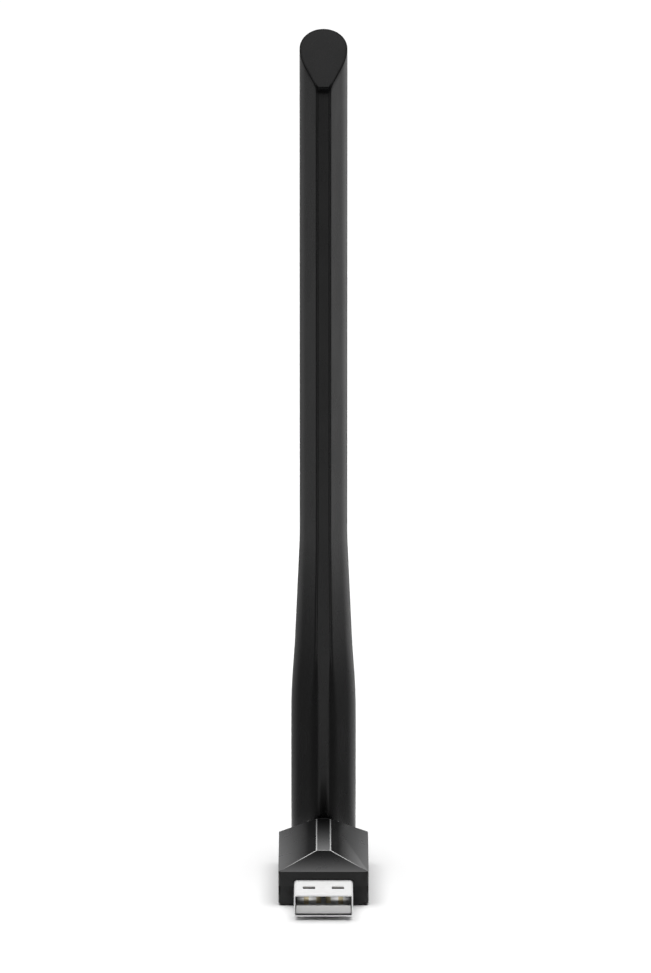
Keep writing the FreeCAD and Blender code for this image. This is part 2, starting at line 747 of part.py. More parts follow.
def ring(name, along, outer, inner, start, thick):
    """A flat washer on the x or y axis."""
    disc = rod(name + "_disc", along, outer, start, thick)
    hole = rod(name + "_hole", along, inner, start, thick)
    return without(name, disc, [hole])


def make_swivel_rings():
    """The ring that keeps the knuckle in the wall, and the washers that give friction."""
    stub_end = ("0", "sizes.stub_end + 0.25", "sizes.hinge_z")
    retaining = ring("retaining_disc", "y", "sizes.ring_radius",
                     "sizes.groove_radius + 0.02", stub_end, "sizes.ring_thick")
    opening = block("ring_opening", ("-0.9", "sizes.stub_end", "sizes.hinge_z - 4"),
                    ("0.9", "sizes.stub_end + 2", "sizes.hinge_z"))
    node("retaining_ring", without("retaining_ring_open", retaining, [opening]))
    before_wall = ("0", "sizes.wall_inside - 0.05 - sizes.washer_thick", "sizes.hinge_z")
    node("swivel_washer", ring("swivel_washer_ring", "y", "sizes.ring_radius + 0.1",
                               "sizes.stub_radius + 0.05", before_wall, "sizes.washer_thick"))
    gap = "(sizes.slot_width - sizes.lug_width) / 2 - sizes.hinge_washer_thick"
    right = (f"sizes.lug_width / 2 + ({gap}) / 2", "sizes.hinge_y", "sizes.hinge_z")
    left = (f"-sizes.lug_width / 2 - ({gap}) / 2 - sizes.hinge_washer_thick",
            "sizes.hinge_y", "sizes.hinge_z")
    washers = [
        ring(f"hinge_washer_{side}", "x", "sizes.hinge_washer_radius",
             "sizes.pin_radius + sizes.fit_gap", start, "sizes.hinge_washer_thick")
        for side, start in (("right", right), ("left", left))
    ]
    node("hinge_washers", grouped("hinge_washer_pair", washers))


def make_hinge_pins():
    """Two short pins, pressed in the ears and free in the lug."""
    length = "sizes.pin_outer - sizes.pin_inner"
    right = rod("hinge_pin_right", "x", "sizes.pin_radius",
                ("sizes.pin_inner", "sizes.hinge_y", "sizes.hinge_z"), length)
    left = rod("hinge_pin_left", "x", "sizes.pin_radius",
               ("-sizes.pin_outer", "sizes.hinge_y", "sizes.hinge_z"), length)
    node("hinge_pins", grouped("hinge_pin_pair", [right, left]))


# ---------------------------------------------------------------- the antenna

def blade_outline(name, height, width, strip_width, wall=0.0):
    """
    The antenna's cross-section at a height, as a closed wire: a flat strip in front, two
    facets that curve into the sides, and a half ellipse behind. The wall insets it.
    """
    size = SIZE
    front = size["strip_face"] + wall
    back = size["back_face"] - wall
    half = width / 2 - wall
    strip = strip_width / 2 - wall * 0.35
    spread = (width - strip_width) / (size["blade_width"] - size["strip_width"])
    slope = size["facet_slope"] * spread
    widest = size["strip_face"] + size["widest_depth"]
    knee_depth = size["facet_depth"] - wall
    knee = strip + slope * knee_depth
    corner_depth = (half - strip) / slope

    def facet_side(sign):
        start = FreeCAD.Vector(sign * strip, front, height)
        bend = FreeCAD.Vector(sign * knee, front + knee_depth, height)
        corner = FreeCAD.Vector(sign * half, front + corner_depth, height)
        end = FreeCAD.Vector(sign * half, widest, height)
        shoulder = Part.BezierCurve()
        shoulder.setPoles([bend, corner, end])
        return [Part.LineSegment(start, bend).toShape(), shoulder.toShape()]

    right = facet_side(1)
    left = facet_side(-1)
    strip_edge = Part.LineSegment(FreeCAD.Vector(-strip, front, height),
                                  FreeCAD.Vector(strip, front, height)).toShape()
    middle = FreeCAD.Vector(0, widest, height)
    side = FreeCAD.Vector(half, widest, height)
    rear = FreeCAD.Vector(0, back, height)
    if back - widest < half:
        ellipse = Part.Ellipse(side, rear, middle)
        back_arc = Part.Arc(ellipse, 0, math.pi).toShape()
    else:
        ellipse = Part.Ellipse(rear, side, middle)
        back_arc = Part.Arc(ellipse, -math.pi / 2, math.pi / 2).toShape()
    edges = [strip_edge] + right + [back_arc] + left
    feature = document.addObject("Part::Feature", name)
    feature.Shape = Part.Wire(Part.__sortEdges__(edges))
    return feature


def blade_loft(name, wall=0.0, floor=0.0):
    """The antenna's outer form, or its inner one when there is a wall, from a floor up."""
    size = SIZE
    base = (size["base_width"], size["base_strip_width"])
    blade = (size["blade_width"], size["strip_width"])
    stations = [(size["tip_height"] + 3, *blade)]
    if floor > size["flare_high"]:
        stations = [(floor, *blade)] + stations
    else:
        flare = [(size["flare_low"], *base), (size["flare_high"], *blade)]
        stations = [(floor, *base)] + flare + stations
    loft = document.addObject("Part::Loft", name)
    loft.Sections = [blade_outline(f"{name}_section_{number}", *station, wall=wall)
                     for number, station in enumerate(stations, start=1)]
    loft.Solid = True
    loft.Ruled = True
    return loft


def slanted_block(name, depth_below, thickness):
    """A slab along the slanted cut of the tip, its lower face a depth below the cut."""
    angle = math.radians(SIZE["tip_angle"])
    slab = document.addObject("Part::Box", name)
    turn = FreeCAD.Rotation(FreeCAD.Vector(1, 0, 0), SIZE["tip_angle"])
    start = FreeCAD.Vector(-15, SIZE["strip_face"], SIZE["tip_height"] - SIZE["tip_rise"])
    along = FreeCAD.Vector(0, math.cos(angle), math.sin(angle))
    normal = FreeCAD.Vector(0, -math.sin(angle), math.cos(angle))
    slab.Placement = FreeCAD.Placement(start - along * 8 - normal * depth_below, turn)
    slab.Length = 30
    slab.Width = 40
    slab.setExpression("Height", thickness)
    return slab


def make_antenna_sleeve():
    """The hollow housing: lofted walls, a slanted end, a round heel and a fork."""
    outside = blade_loft("blade_outside")
    cavity = blade_loft("blade_cavity", SIZE["sleeve_wall"], SIZE["cavity_floor"])
    above_cut = slanted_block("above_cut", 0.0, "40")
    lid_room = shared("lid_room", [blade_loft("lid_room_form", SIZE["rim_wall"], 100.0),
                                   slanted_block("lid_room_slab", SIZE["cap_thick"],
                                                 "sizes.cap_thick + 1")])
    heel_box = block("heel_box", ("-10", "sizes.strip_face - 1", "-1"),
                     ("10", "sizes.back_face + 1", "sizes.hinge_z"))
    heel_rod = rod("heel_rod", "x", "sizes.heel_radius",
                   ("-11", "sizes.hinge_y", "sizes.hinge_z"), "22")
    heel = without("heel_waste", heel_box, [heel_rod])
    fork_box = block("fork_box",
                     ("-sizes.slot_width / 2", "sizes.strip_face - 1", "-1"),
                     ("sizes.slot_width / 2", "sizes.back_face + 1",
                      "sizes.hinge_z + sizes.slot_radius"))
    pin_holes = rod("ear_pin_hole", "x", "sizes.pin_radius",
                    ("-sizes.pin_outer", "sizes.hinge_y", "sizes.hinge_z"),
                    "sizes.pin_outer * 2")
    lead_hole = rod("fork_lead_hole", "z", "sizes.coax_radius + 0.3",
                    ("0", "sizes.hinge_y", "sizes.hinge_z"), "sizes.cavity_floor")
    sleeve = without("sleeve_cut", outside,
                     [cavity, above_cut, lid_room, heel, fork_box, pin_holes, lead_hole])
    node("antenna_sleeve", sleeve)


def make_tip_cap():
    """The flat lid that closes the slanted end, flush with the rim."""
    form = blade_loft("cap_form", SIZE["rim_wall"], 100.0)
    slab = slanted_block("cap_slab", SIZE["cap_thick"], "sizes.cap_thick")
    node("tip_cap", shared("cap_cut", [form, slab]))


def make_radiator():
    """A thin board with a two-arm copper radiator, the feed ferrule and foam pads."""
    half = "sizes.strip_board_width / 2"
    rear = "sizes.strip_board_front + sizes.strip_board_thick"
    strip = block("radiator_strip", (f"-{half}", "sizes.strip_board_front",
                                     "sizes.strip_board_low"),
                  (half, rear, "sizes.strip_board_high"))
    node("antenna_board", strip)

    arms = []
    trace_rear = f"{rear} + sizes.trace_thick"
    for name, low, high in (("lower_arm", "sizes.feed_height - 27", "sizes.feed_height - 0.8"),
                            ("upper_arm", "sizes.feed_height + 0.8", "sizes.feed_height + 27")):
        for side, low_x, high_x in (("left", "-2.6", "-1.2"), ("right", "1.2", "2.6")):
            arms.append(block(f"{name}_{side}", (low_x, rear, low), (high_x, trace_rear, high)))
    bars = []
    for name, low, high in (("lower_bar", "sizes.feed_height - 2.6", "sizes.feed_height - 0.8"),
                            ("upper_bar", "sizes.feed_height + 0.8", "sizes.feed_height + 2.6")):
        bars.append(block(name, ("-1.2", rear, low), ("1.2", trace_rear, high)))
    lower = joined("lower_radiator", arms[:2] + [bars[0]])
    upper = joined("upper_radiator", arms[2:] + [bars[1]])
    node("radiator_traces", grouped("radiator_pair", [lower, upper]))

    ferrule = rod("ferrule_outer", "z", "sizes.coax_radius + 0.25",
                  ("0", "sizes.hinge_y", "sizes.feed_height - 6"), "5")
    hole = rod("ferrule_hole", "z", "sizes.coax_radius",
               ("0", "sizes.hinge_y", "sizes.feed_height - 7"), "8")
    board_side = block("ferrule_flat", ("-3", "sizes.strip_board_front", "0"),
                       ("3", "sizes.back_face", "sizes.tip_height"))
    node("feed_ferrule", without("ferrule_ring", ferrule, [hole, board_side]))

    pads = []
    for name, low in (("low", "sizes.strip_board_low + 8"), ("high", "sizes.strip_board_high - 12")):
        pads.append(block(f"foam_pad_{name}",
                          ("-2.0", f"{rear} + sizes.trace_thick", low),
                          ("2.0", "sizes.back_face - sizes.sleeve_wall - 0.6", f"{low} + 8")))
    node("foam_pads", grouped("foam_pad_pair", pads))


# ---------------------------------------------------------------- build, test and write

def check_document():
    for thing in document.Objects:
        if "Invalid" in thing.State or "Error" in thing.State:
            raise RuntimeError(f"{thing.Name} failed: {thing.State}")


def write_nodes():
    os.makedirs("parts", exist_ok=True)
    for thing in nodes:
        shape = thing.Shape
        if shape.isNull() or not shape.isValid():
            raise RuntimeError(f"{thing.Label} has no valid shape")
        shape.exportStep(f"parts/{thing.Label}.step")
        print(f"{thing.Label}: {len(shape.Solids)} solid(s), {shape.Volume:.2f} mm3")


fill_sheet()
make_top_shell()
make_bottom_shell()
make_rating_plate()
make_plug_shell()
make_plug_core()
make_main_board()
make_shield_can()
make_board_parts()
make_lead()
make_swivel_knuckle()
make_swivel_rings()
make_hinge_pins()
make_antenna_sleeve()
make_tip_cap()
make_radiator()
document.recompute()
check_document()
write_nodes()
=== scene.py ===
# %% [markdown]
# # A USB wireless adapter with a folding antenna
#
# The object is small: a hipped black case no longer than a thumb, a bright USB plug at its
# front, and a tall hollow antenna behind it that folds on a hinge and turns on a swivel.
# The engineering model comes first, and everything here is built around it in the same
# frame: x to the right, y away from the plug, z up. The lesson works in millimetres, because
# that is how such a part is drawn, and turns them into Blender's metres in one place.

# %% Load the engineering model
import json
import math

import bmesh
import bpy
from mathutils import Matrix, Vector


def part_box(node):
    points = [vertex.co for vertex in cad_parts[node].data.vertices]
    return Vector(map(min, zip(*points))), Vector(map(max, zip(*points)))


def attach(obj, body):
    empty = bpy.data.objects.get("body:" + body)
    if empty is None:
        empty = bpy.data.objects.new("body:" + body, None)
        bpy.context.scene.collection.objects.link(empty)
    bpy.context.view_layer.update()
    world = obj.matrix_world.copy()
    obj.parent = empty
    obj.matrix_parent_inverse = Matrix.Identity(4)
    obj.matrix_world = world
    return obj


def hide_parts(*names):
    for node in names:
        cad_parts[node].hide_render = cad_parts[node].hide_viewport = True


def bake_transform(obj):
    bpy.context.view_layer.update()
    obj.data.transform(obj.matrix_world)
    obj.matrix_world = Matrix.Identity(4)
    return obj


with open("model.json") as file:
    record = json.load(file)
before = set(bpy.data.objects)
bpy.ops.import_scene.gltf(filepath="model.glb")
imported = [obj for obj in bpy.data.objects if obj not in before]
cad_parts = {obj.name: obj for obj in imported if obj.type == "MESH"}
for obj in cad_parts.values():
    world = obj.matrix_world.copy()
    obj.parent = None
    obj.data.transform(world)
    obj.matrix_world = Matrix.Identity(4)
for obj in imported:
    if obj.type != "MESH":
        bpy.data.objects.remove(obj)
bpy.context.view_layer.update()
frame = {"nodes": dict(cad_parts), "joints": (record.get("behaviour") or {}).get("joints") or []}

MM = 0.001


def corners_mm(node):
    """The lowest and highest corner of an engineering piece, in millimetres."""
    low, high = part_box(node)
    return low / MM, high / MM


# %% [markdown]
# ## Places to hang everything on
#
# A maker reads the main places off the engineering model and never types them twice. The
# case gives the walls, the antenna gives its faces and its cut end, and the hinge and the
# swivel are the joints themselves. Only three sizes of the roof don't show in any box: how
# high the walls reach before the slopes start, half the width of the flat strip along the
# ridge, and where that strip begins behind the front slope.

# %% Read the main places
case_low, case_high = corners_mm("bottom_shell")
roof_low, roof_high = corners_mm("top_shell")
plug_low, plug_high = corners_mm("plug_shell")
tongue_low, tongue_high = corners_mm("plug_insulator")
contact_low, contact_high = corners_mm("plug_contacts")
board_low, board_high = corners_mm("main_board")
sleeve_low, sleeve_high = corners_mm("antenna_sleeve")
lead_low, lead_high = corners_mm("hinge_coax")

EAVES = 7.1
RIDGE_HALF = 1.425
RIDGE_START = case_low.y + 7.2

joints = {joint["name"]: joint for joint in frame["joints"]}
hinge = Vector(joints["fold"]["pos_m"]) / MM
swivel = Vector(joints["swivel"]["pos_m"]) / MM
print(f"hinge at y {hinge.y:.1f}, z {hinge.z:.1f}; swivel wall at y {swivel.y:.1f} mm")
print(f"antenna from y {sleeve_low.y:.1f} to {sleeve_high.y:.1f}, up to z {sleeve_high.z:.1f} mm")

# %% [markdown]
# ## Materials: one recipe for a surface with a history
#
# No real surface is one flat colour. Moulded plastic has a fine spark-eroded grain, slow
# drifts in gloss where the mould wore, and paler edges, partly worn by fingers and pockets and
# partly a painted edge highlight.
# Painted images could show that, but they need unwrapping and go soft close up. So every
# finish is worked out from the place on the piece instead. All of them read object
# coordinates in millimetres, so the pattern stays put as the piece moves, and a grain of so
# many per millimetre is the same size on every piece.

# %% An empty finish and its coordinates


def new_finish(name):
    """A material with an empty tree, its shader, and coordinates counted in millimetres."""
    material = bpy.data.materials.new(name)
    material.use_nodes = True
    tree = material.node_tree
    tree.nodes.clear()
    output = tree.nodes.new("ShaderNodeOutputMaterial")
    shader = tree.nodes.new("ShaderNodeBsdfPrincipled")
    tree.links.new(shader.outputs["BSDF"], output.inputs["Surface"])
    place = tree.nodes.new("ShaderNodeTexCoord")
    ruler = tree.nodes.new("ShaderNodeMapping")
    ruler.inputs["Scale"].default_value = (1 / MM, 1 / MM, 1 / MM)
    tree.links.new(place.outputs["Object"], ruler.inputs["Vector"])
    return material, tree, shader, ruler.outputs["Vector"]


def stretched(tree, vector, scale):
    """The same coordinates with each axis scaled, for brushed or drawn finishes."""
    mapping = tree.nodes.new("ShaderNodeMapping")
    mapping.inputs["Scale"].default_value = scale
    tree.links.new(vector, mapping.inputs["Vector"])
    return mapping.outputs["Vector"]


def noise(tree, vector, per_mm, detail=2.0):
    """Cloudy noise between 0 and 1, with so many features to a millimetre."""
    node = tree.nodes.new("ShaderNodeTexNoise")
    node.inputs["Scale"].default_value = per_mm
    node.inputs["Detail"].default_value = detail
    tree.links.new(vector, node.inputs["Vector"])
    return node.outputs["Fac"]


print("a finish starts as a shader with nothing on it")

# %% [markdown]
# ## Patterns into numbers and colours
#
# A noise gives a cloud of values around a half. On its own it is no use: a gloss has to stay
# between two roughnesses, and a colour between two colours. The first helper stretches the
# middle of the cloud over a range, and the second fades one colour into another by it.

# %% Spread a pattern over a range, and mix two colours


def spread(tree, value, low, high, start=0.3, end=0.7):
    """Turns a 0..1 pattern into a number between low and high."""
    node = tree.nodes.new("ShaderNodeMapRange")
    node.inputs["From Min"].default_value = start
    node.inputs["From Max"].default_value = end
    node.inputs["To Min"].default_value = low
    node.inputs["To Max"].default_value = high
    tree.links.new(value, node.inputs["Value"])
    return node.outputs["Result"]


def mixed(tree, factor, first, second):
    """A colour between two colours. Each is a tuple or a socket."""
    node = tree.nodes.new("ShaderNodeMix")
    node.data_type = "RGBA"
    for socket, colour in ((node.inputs[6], first), (node.inputs[7], second)):
        if isinstance(colour, tuple):
            socket.default_value = (*colour, 1.0)
        else:
            tree.links.new(colour, socket)
    tree.links.new(factor, node.inputs[0])
    return node.outputs[2]


print("patterns can now drive numbers and colours")

# %% [markdown]
# ## Sums in a finish
#
# Where a finish changes from one place to another, its tree does a sum: a share that runs
# down a slope, or a one inside a box and a zero outside. Wiring each sum by hand is long and
# easy to get wrong, so four small helpers write them as a line of arithmetic would. Two more
# find the sharp outer edges, paler from rubbing and from a painted edge highlight, and turn a
# pattern into a bump.

# %% Sums, pale edges and bumps


def maths_on(tree, operation, *values):
    """One sum on numbers or sockets in a material's tree."""
    node = tree.nodes.new("ShaderNodeMath")
    node.operation = operation
    for socket, value in zip(node.inputs, values):
        if isinstance(value, bpy.types.NodeSocket):
            tree.links.new(value, socket)
        else:
            socket.default_value = value
    return node.outputs[0]


def product(tree, *values):
    """Numbers or sockets, multiplied together."""
    total = values[0]
    for value in values[1:]:
        total = maths_on(tree, "MULTIPLY", total, value)
    return total


def one_minus(tree, value):
    return maths_on(tree, "SUBTRACT", 1.0, value)


def raised(tree, value, power):
    return maths_on(tree, "POWER", value, power)


def wear_and_highlight_edges(tree, start, end):
    """One where the surface turns sharply outwards, zero on flats and in hollows."""
    geometry = tree.nodes.new("ShaderNodeNewGeometry")
    return spread(tree, geometry.outputs["Pointiness"], 0.0, 1.0, start, end)


def bumped(tree, shader, height, strength, depth_mm):
    bump = tree.nodes.new("ShaderNodeBump")
    bump.inputs["Strength"].default_value = strength
    bump.inputs["Distance"].default_value = depth_mm * MM
    tree.links.new(height, bump.inputs["Height"])
    tree.links.new(bump.outputs["Normal"], shader.inputs["Normal"])


print("the helpers measure in millimetres:", round(1 / MM), "to a metre")

# %% [markdown]
# ## Moulded plastic
#
# The case, the antenna, its lid, the knuckle and the plug's tongue all leave a mould. One
# recipe serves them: a slow drift moves the colour, longer smears move the gloss, a fine grain
# makes the bump, and sharp corners are paler, worn by rubbing and painted with an edge
# highlight. A slot is left open for a second colour, a painted sheen that stands in for
# reflected light, because only the case needs it.

# %% Moulded plastic: a fine grain, drifting gloss, and pale edges of rubbing and painted highlight
GRAIN_BUMP = 0.12
DARKER_SHARE = 0.82


def moulded(name, colour, wear_and_highlight_colour, gloss, grain_per_mm, grain_mm, ior=1.36, painted_light=None):
    """Plastic as it leaves a mould: colour, the paler colour of its sharp edges, which is partly
    worn by rubbing and partly a painted edge highlight, a range of roughness, and the grain's
    fineness and depth. A function of (tree, place) may give a second colour, a painted sheen
    that stands in for reflected light, and how strongly it shows at each place."""
    material, tree, shader, place = new_finish(name)
    drift = noise(tree, place, 0.09, 1.0)
    darker = tuple(channel * DARKER_SHARE for channel in colour)
    ground = mixed(tree, spread(tree, drift, 0.0, 1.0), darker, colour)
    # Sharp outer edges turn pale: partly worn by rubbing, partly a painted edge highlight.
    wear_and_highlight_share = wear_and_highlight_edges(tree, 0.53, 0.60)
    # The case's second colour is a painted sheen, paler where reflections would light the roof.
    if painted_light is not None:
        paler, strength = painted_light(tree, place)
        ground = mixed(tree, strength, ground, paler)
    shader_colour = mixed(tree, spread(tree, wear_and_highlight_share, 0.0, 0.35, 0.0, 1.0), ground, wear_and_highlight_colour)
    tree.links.new(shader_colour, shader.inputs["Base Color"])
    smears = noise(tree, stretched(tree, place, (1.0, 1.0, 0.35)), 0.35, 1.0)
    tree.links.new(spread(tree, smears, *gloss), shader.inputs["Roughness"])
    shader.inputs["IOR"].default_value = ior
    bumped(tree, shader, noise(tree, place, grain_per_mm, 2.0), GRAIN_BUMP, grain_mm)
    return material


print("moulded plastic darkens to", DARKER_SHARE, "of its colour where it drifts")


# %% [markdown]
# ## Metals
#
# A metal's polish has a direction: the plug's sheet was rolled lengthwise, its scratches are
# long in that direction, and the highlight smears across them. Stretching the noise before it
# reaches the roughness and the bump gives that for the price of one node. Fully metallic
# finishes go dark wherever they mirror something dark, which a satin plating does less, so
# how metallic each one is stays open.

# %% Metals: drawn, plated and stamped
# This grey is painted shade, laid on the inside of the plug's tube.
PAINTED_SHADE_STEEL = (0.16, 0.16, 0.16)


def metal(name, colour, tarnish, gloss, brush, per_mm, depth_mm, metallic=1.0, inside=None):
    """A metal with a direction to its polish. brush is the stretch of the scratches. Less
    metallic is paler and more satin, as a matt plating is. Inside is a box, by its two
    corners in millimetres, where the metal is painted a dull grey as painted shade inside a tube."""
    material, tree, shader, place = new_finish(name)
    shader.inputs["Metallic"].default_value = metallic
    cloud = noise(tree, place, 0.6, 3.0)
    plated = mixed(tree, spread(tree, cloud, 0.0, 1.0, 0.35, 0.75), colour, tarnish)
    # Inside the box the colour is painted shade.
    if inside is not None:
        split = tree.nodes.new("ShaderNodeSeparateXYZ")
        tree.links.new(place, split.inputs[0])
        walls = [maths_on(tree, test, split.outputs[way], corner[number])
                 for test, corner in zip(("GREATER_THAN", "LESS_THAN"), inside)
                 for number, way in ((0, "X"), (2, "Z"))]
        plated = mixed(tree, product(tree, *walls), plated, PAINTED_SHADE_STEEL)
    tree.links.new(plated, shader.inputs["Base Color"])
    scratches = noise(tree, stretched(tree, place, brush), per_mm, 3.0)
    tree.links.new(spread(tree, scratches, *gloss), shader.inputs["Roughness"])
    bumped(tree, shader, scratches, 0.15, depth_mm)
    return material


print("dull steel reflects", PAINTED_SHADE_STEEL[0])

# %% [markdown]
# ## Painted sheen and highlight on the case
#
# The roof's colour carries painted light. Both side slopes pale towards the eaves, the front
# slope pales towards the bottom, and the ridge strip towards its front end: a painted sheen that
# stands in for reflected light. The crest itself, every edge between two slopes, carries a
# painted highlight, bright near the front end of the ridge and fading away from it. Light alone
# won't draw that on a black so dark, and a mask painted into an image would blur. The roof is
# made of flats, so four shares say where a place is.

# %% Where a place is on the roof, and how much painted sheen and highlight it gets
# How far the painted sheen reaches on the roof, and how the crest's painted highlight fades.
SHEEN_STARTS = 1.6
REAR_LOSS = 0.25
FRONT_CURVE, FRONT_SHARE = 1.9, 0.38
STRIP_CURVE, STRIP_SHARE = 2.0, 0.74
HIP_CURVE, CREST_LOSS = 1.6, 0.75
END_BAR_WIDTH, END_BAR_SHARE = 0.35, 0.55


def roof_shares(tree, place):
    """Where a place is: its distance from the middle, its y and z, and shares that run from
    0 to 1 across the side slopes, down the front slope and back along the ridge."""
    split = tree.nodes.new("ShaderNodeSeparateXYZ")
    tree.links.new(place, split.inputs[0])
    y, z = split.outputs["Y"], split.outputs["Z"]
    aside = maths_on(tree, "ABSOLUTE", split.outputs["X"])
    return {"aside": aside, "y": y, "z": z,
            "across": spread(tree, aside, 0.0, 1.0, RIDGE_HALF, case_high.x),
            "down": spread(tree, y, 0.0, 1.0, RIDGE_START, case_low.y),
            "back": spread(tree, y, 0.0, 1.0, RIDGE_START, case_high.y)}


def case_sheen_painting(tree, place):
    """A painted sheen: the paler colour that stands in for reflected light on the roof, and how
    strongly it shows at each place.
    """
    roof = roof_shares(tree, place)
    on_front = maths_on(tree, "GREATER_THAN", roof["down"], roof["across"])
    on_strip = maths_on(tree, "LESS_THAN", roof["aside"], RIDGE_HALF)
    behind_front = maths_on(tree, "GREATER_THAN", roof["y"], RIDGE_START)
    on_roof = maths_on(tree, "GREATER_THAN", roof["z"], EAVES - 0.02)
    # The sides take the painted sheen from here out to the eaves.
    side_sheen = spread(tree, roof["aside"], 0.0, 1.0, RIDGE_HALF + SHEEN_STARTS, case_high.x)
    sides = product(tree, side_sheen, one_minus(tree, product(tree, roof["back"], REAR_LOSS)),
                    one_minus(tree, on_front))
    strip = product(tree, raised(tree, one_minus(tree, roof["back"]), STRIP_CURVE), on_strip,
                    STRIP_SHARE, behind_front)
    front = product(tree, raised(tree, roof["down"], FRONT_CURVE), FRONT_SHARE, on_front)
    tone = maths_on(tree, "MAXIMUM", maths_on(tree, "MAXIMUM", strip, sides), front)
    return PAINTED_SHEEN_GREY, product(tree, tone, on_roof)


def painted_highlight_finish(name, painted_highlight_tone, dull):
    """The crest's painted highlight, which fades down the hips and back along the strip."""
    material, tree, shader, place = new_finish(name)
    roof = roof_shares(tree, place)
    front_fade = one_minus(tree, raised(tree, roof["down"], HIP_CURVE))
    rear_fade = one_minus(tree, product(tree, roof["back"], CREST_LOSS))
    end_bar = spread(tree, roof["aside"], END_BAR_SHARE, 1.0, RIDGE_HALF - END_BAR_WIDTH,
                     RIDGE_HALF)
    grain = spread(tree, noise(tree, place, 2.5, 3.0), 0.85, 1.0)
    tree.links.new(mixed(tree, product(tree, front_fade, rear_fade, end_bar, grain), dull,
                         painted_highlight_tone), shader.inputs["Base Color"])
    tree.links.new(spread(tree, noise(tree, place, 1.2), 0.24, 0.34), shader.inputs["Roughness"])
    bumped(tree, shader, noise(tree, place, 7.0, 2.0), GRAIN_BUMP, 0.004)
    return material


print(f"the sides pale from {RIDGE_HALF + SHEEN_STARTS:.1f} mm to {case_high.x:.1f} mm out")

# %% [markdown]
# ## The plastics and metals of this object
#
# The black is nearly as dark as a plastic can be, because what shows on it should be what it
# mirrors. Its gloss is between satin and shiny, and differs a little from the case to the
# antenna to the lid. The plug's sheet has a pale satin plating outside, and is painted a dull
# grey inside, as painted shade in the tube. The contacts are pale gold over nickel.

# %% Mix the plastics and metals
BLACK = (0.0040, 0.0040, 0.0042)
# The black's pale edge colour: partly worn by rubbing, partly a painted edge highlight.
WEAR_AND_HIGHLIGHT_BLACK = (0.014, 0.014, 0.0145)
# How far in from the plug's outside its painted shade begins.
PAINTED_SHADE_INSET = Vector((0.28, 0, 0.28))
# The colour of the case's painted sheen, laid on the roof where reflections would light it.
PAINTED_SHEEN_GREY = (0.238, 0.238, 0.240)
case_black = moulded("case_black", BLACK, WEAR_AND_HIGHLIGHT_BLACK, (0.27, 0.31), 7.0, 0.004,
                     painted_light=case_sheen_painting)
# The crest's near-silver colour is a painted highlight.
crest_highlight_paint = painted_highlight_finish("crest_highlight_paint", (0.66, 0.66, 0.66), (0.012, 0.012, 0.0125))
antenna_black = moulded("antenna_black", BLACK, WEAR_AND_HIGHLIGHT_BLACK, (0.22, 0.29), 7.0, 0.004)
cap_black = moulded("cap_black", BLACK, WEAR_AND_HIGHLIGHT_BLACK, (0.24, 0.30), 9.0, 0.004)
joint_black = moulded("joint_black", (0.011, 0.011, 0.012), WEAR_AND_HIGHLIGHT_BLACK, (0.30, 0.42), 5.0, 0.006)
tongue_plastic = moulded("tongue_plastic", (0.93, 0.93, 0.92), (0.95, 0.95, 0.94),
                         (0.35, 0.45), 6.0, 0.004)
# Inside the plug's tube its colour is painted shade.
plug_steel = metal("plug_steel", (0.93, 0.93, 0.93), (0.86, 0.86, 0.855), (0.30, 0.42),
                   (1.0, 0.10, 1.0), 9.0, 0.002, metallic=0.1,
                   inside=(plug_low + PAINTED_SHADE_INSET, plug_high - PAINTED_SHADE_INSET))
can_steel = metal("can_steel", (0.66, 0.65, 0.62), (0.55, 0.54, 0.51), (0.28, 0.40),
                  (0.15, 1.0, 1.0), 8.0, 0.003)
spring_steel = metal("spring_steel", (0.52, 0.51, 0.50), (0.38, 0.37, 0.36), (0.22, 0.35),
                     (1.0, 1.0, 1.0), 6.0, 0.003)
contact_gold = metal("contact_gold", (0.90, 0.80, 0.56), (0.80, 0.69, 0.44), (0.30, 0.42),
                     (1.0, 0.12, 1.0), 10.0, 0.002, metallic=0.25)
copper = metal("copper", (0.72, 0.36, 0.20), (0.42, 0.20, 0.12), (0.25, 0.42),
               (1.0, 1.0, 0.2), 5.0, 0.003)
tinned = metal("tinned_solder", (0.63, 0.63, 0.62), (0.50, 0.50, 0.50), (0.22, 0.38),
               (1.0, 1.0, 1.0), 4.0, 0.004)
print(len(bpy.data.materials), "finishes so far")

# %% [markdown]
# ## The other finishes
#
# A circuit board is glass cloth under green lacquer: the cloth's weave just shows, and copper
# tracks make paler stripes. A chip's epoxy is matt with a slight sparkle, ceramic capacitors
# are smooth tan, a choke is grey ferrite, foam has open cells, and the lead's jacket was drawn
# through a die, which leaves faint lines along it.

# %% Board, epoxy, ceramic, ferrite, foam, jacket and label


def lacquered_board(name, lacquer, track_colour, track_per_mm):
    """Green lacquer over woven glass, with buried tracks as paler stripes."""
    material, tree, shader, place = new_finish(name)
    tracks = tree.nodes.new("ShaderNodeTexBrick")
    tracks.inputs["Scale"].default_value = track_per_mm
    tracks.inputs["Mortar Size"].default_value = 0.06
    tracks.inputs["Color1"].default_value = (0, 0, 0, 1)
    tracks.inputs["Color2"].default_value = (0, 0, 0, 1)
    tracks.inputs["Mortar"].default_value = (1, 1, 1, 1)
    tree.links.new(place, tracks.inputs["Vector"])
    shade = noise(tree, place, 0.4, 2.0)
    darker = tuple(channel * 0.7 for channel in lacquer)
    ground = mixed(tree, spread(tree, shade, 0.0, 1.0), darker, lacquer)
    tree.links.new(mixed(tree, spread(tree, tracks.outputs["Color"], 0.0, 0.7, 0.0, 1.0),
                         ground, track_colour), shader.inputs["Base Color"])
    weave = tree.nodes.new("ShaderNodeTexWave")
    weave.inputs["Scale"].default_value = 1.6
    weave.inputs["Distortion"].default_value = 1.0
    tree.links.new(place, weave.inputs["Vector"])
    tree.links.new(spread(tree, shade, 0.22, 0.34), shader.inputs["Roughness"])
    bumped(tree, shader, weave.outputs["Fac"], 0.25, 0.01)
    return material


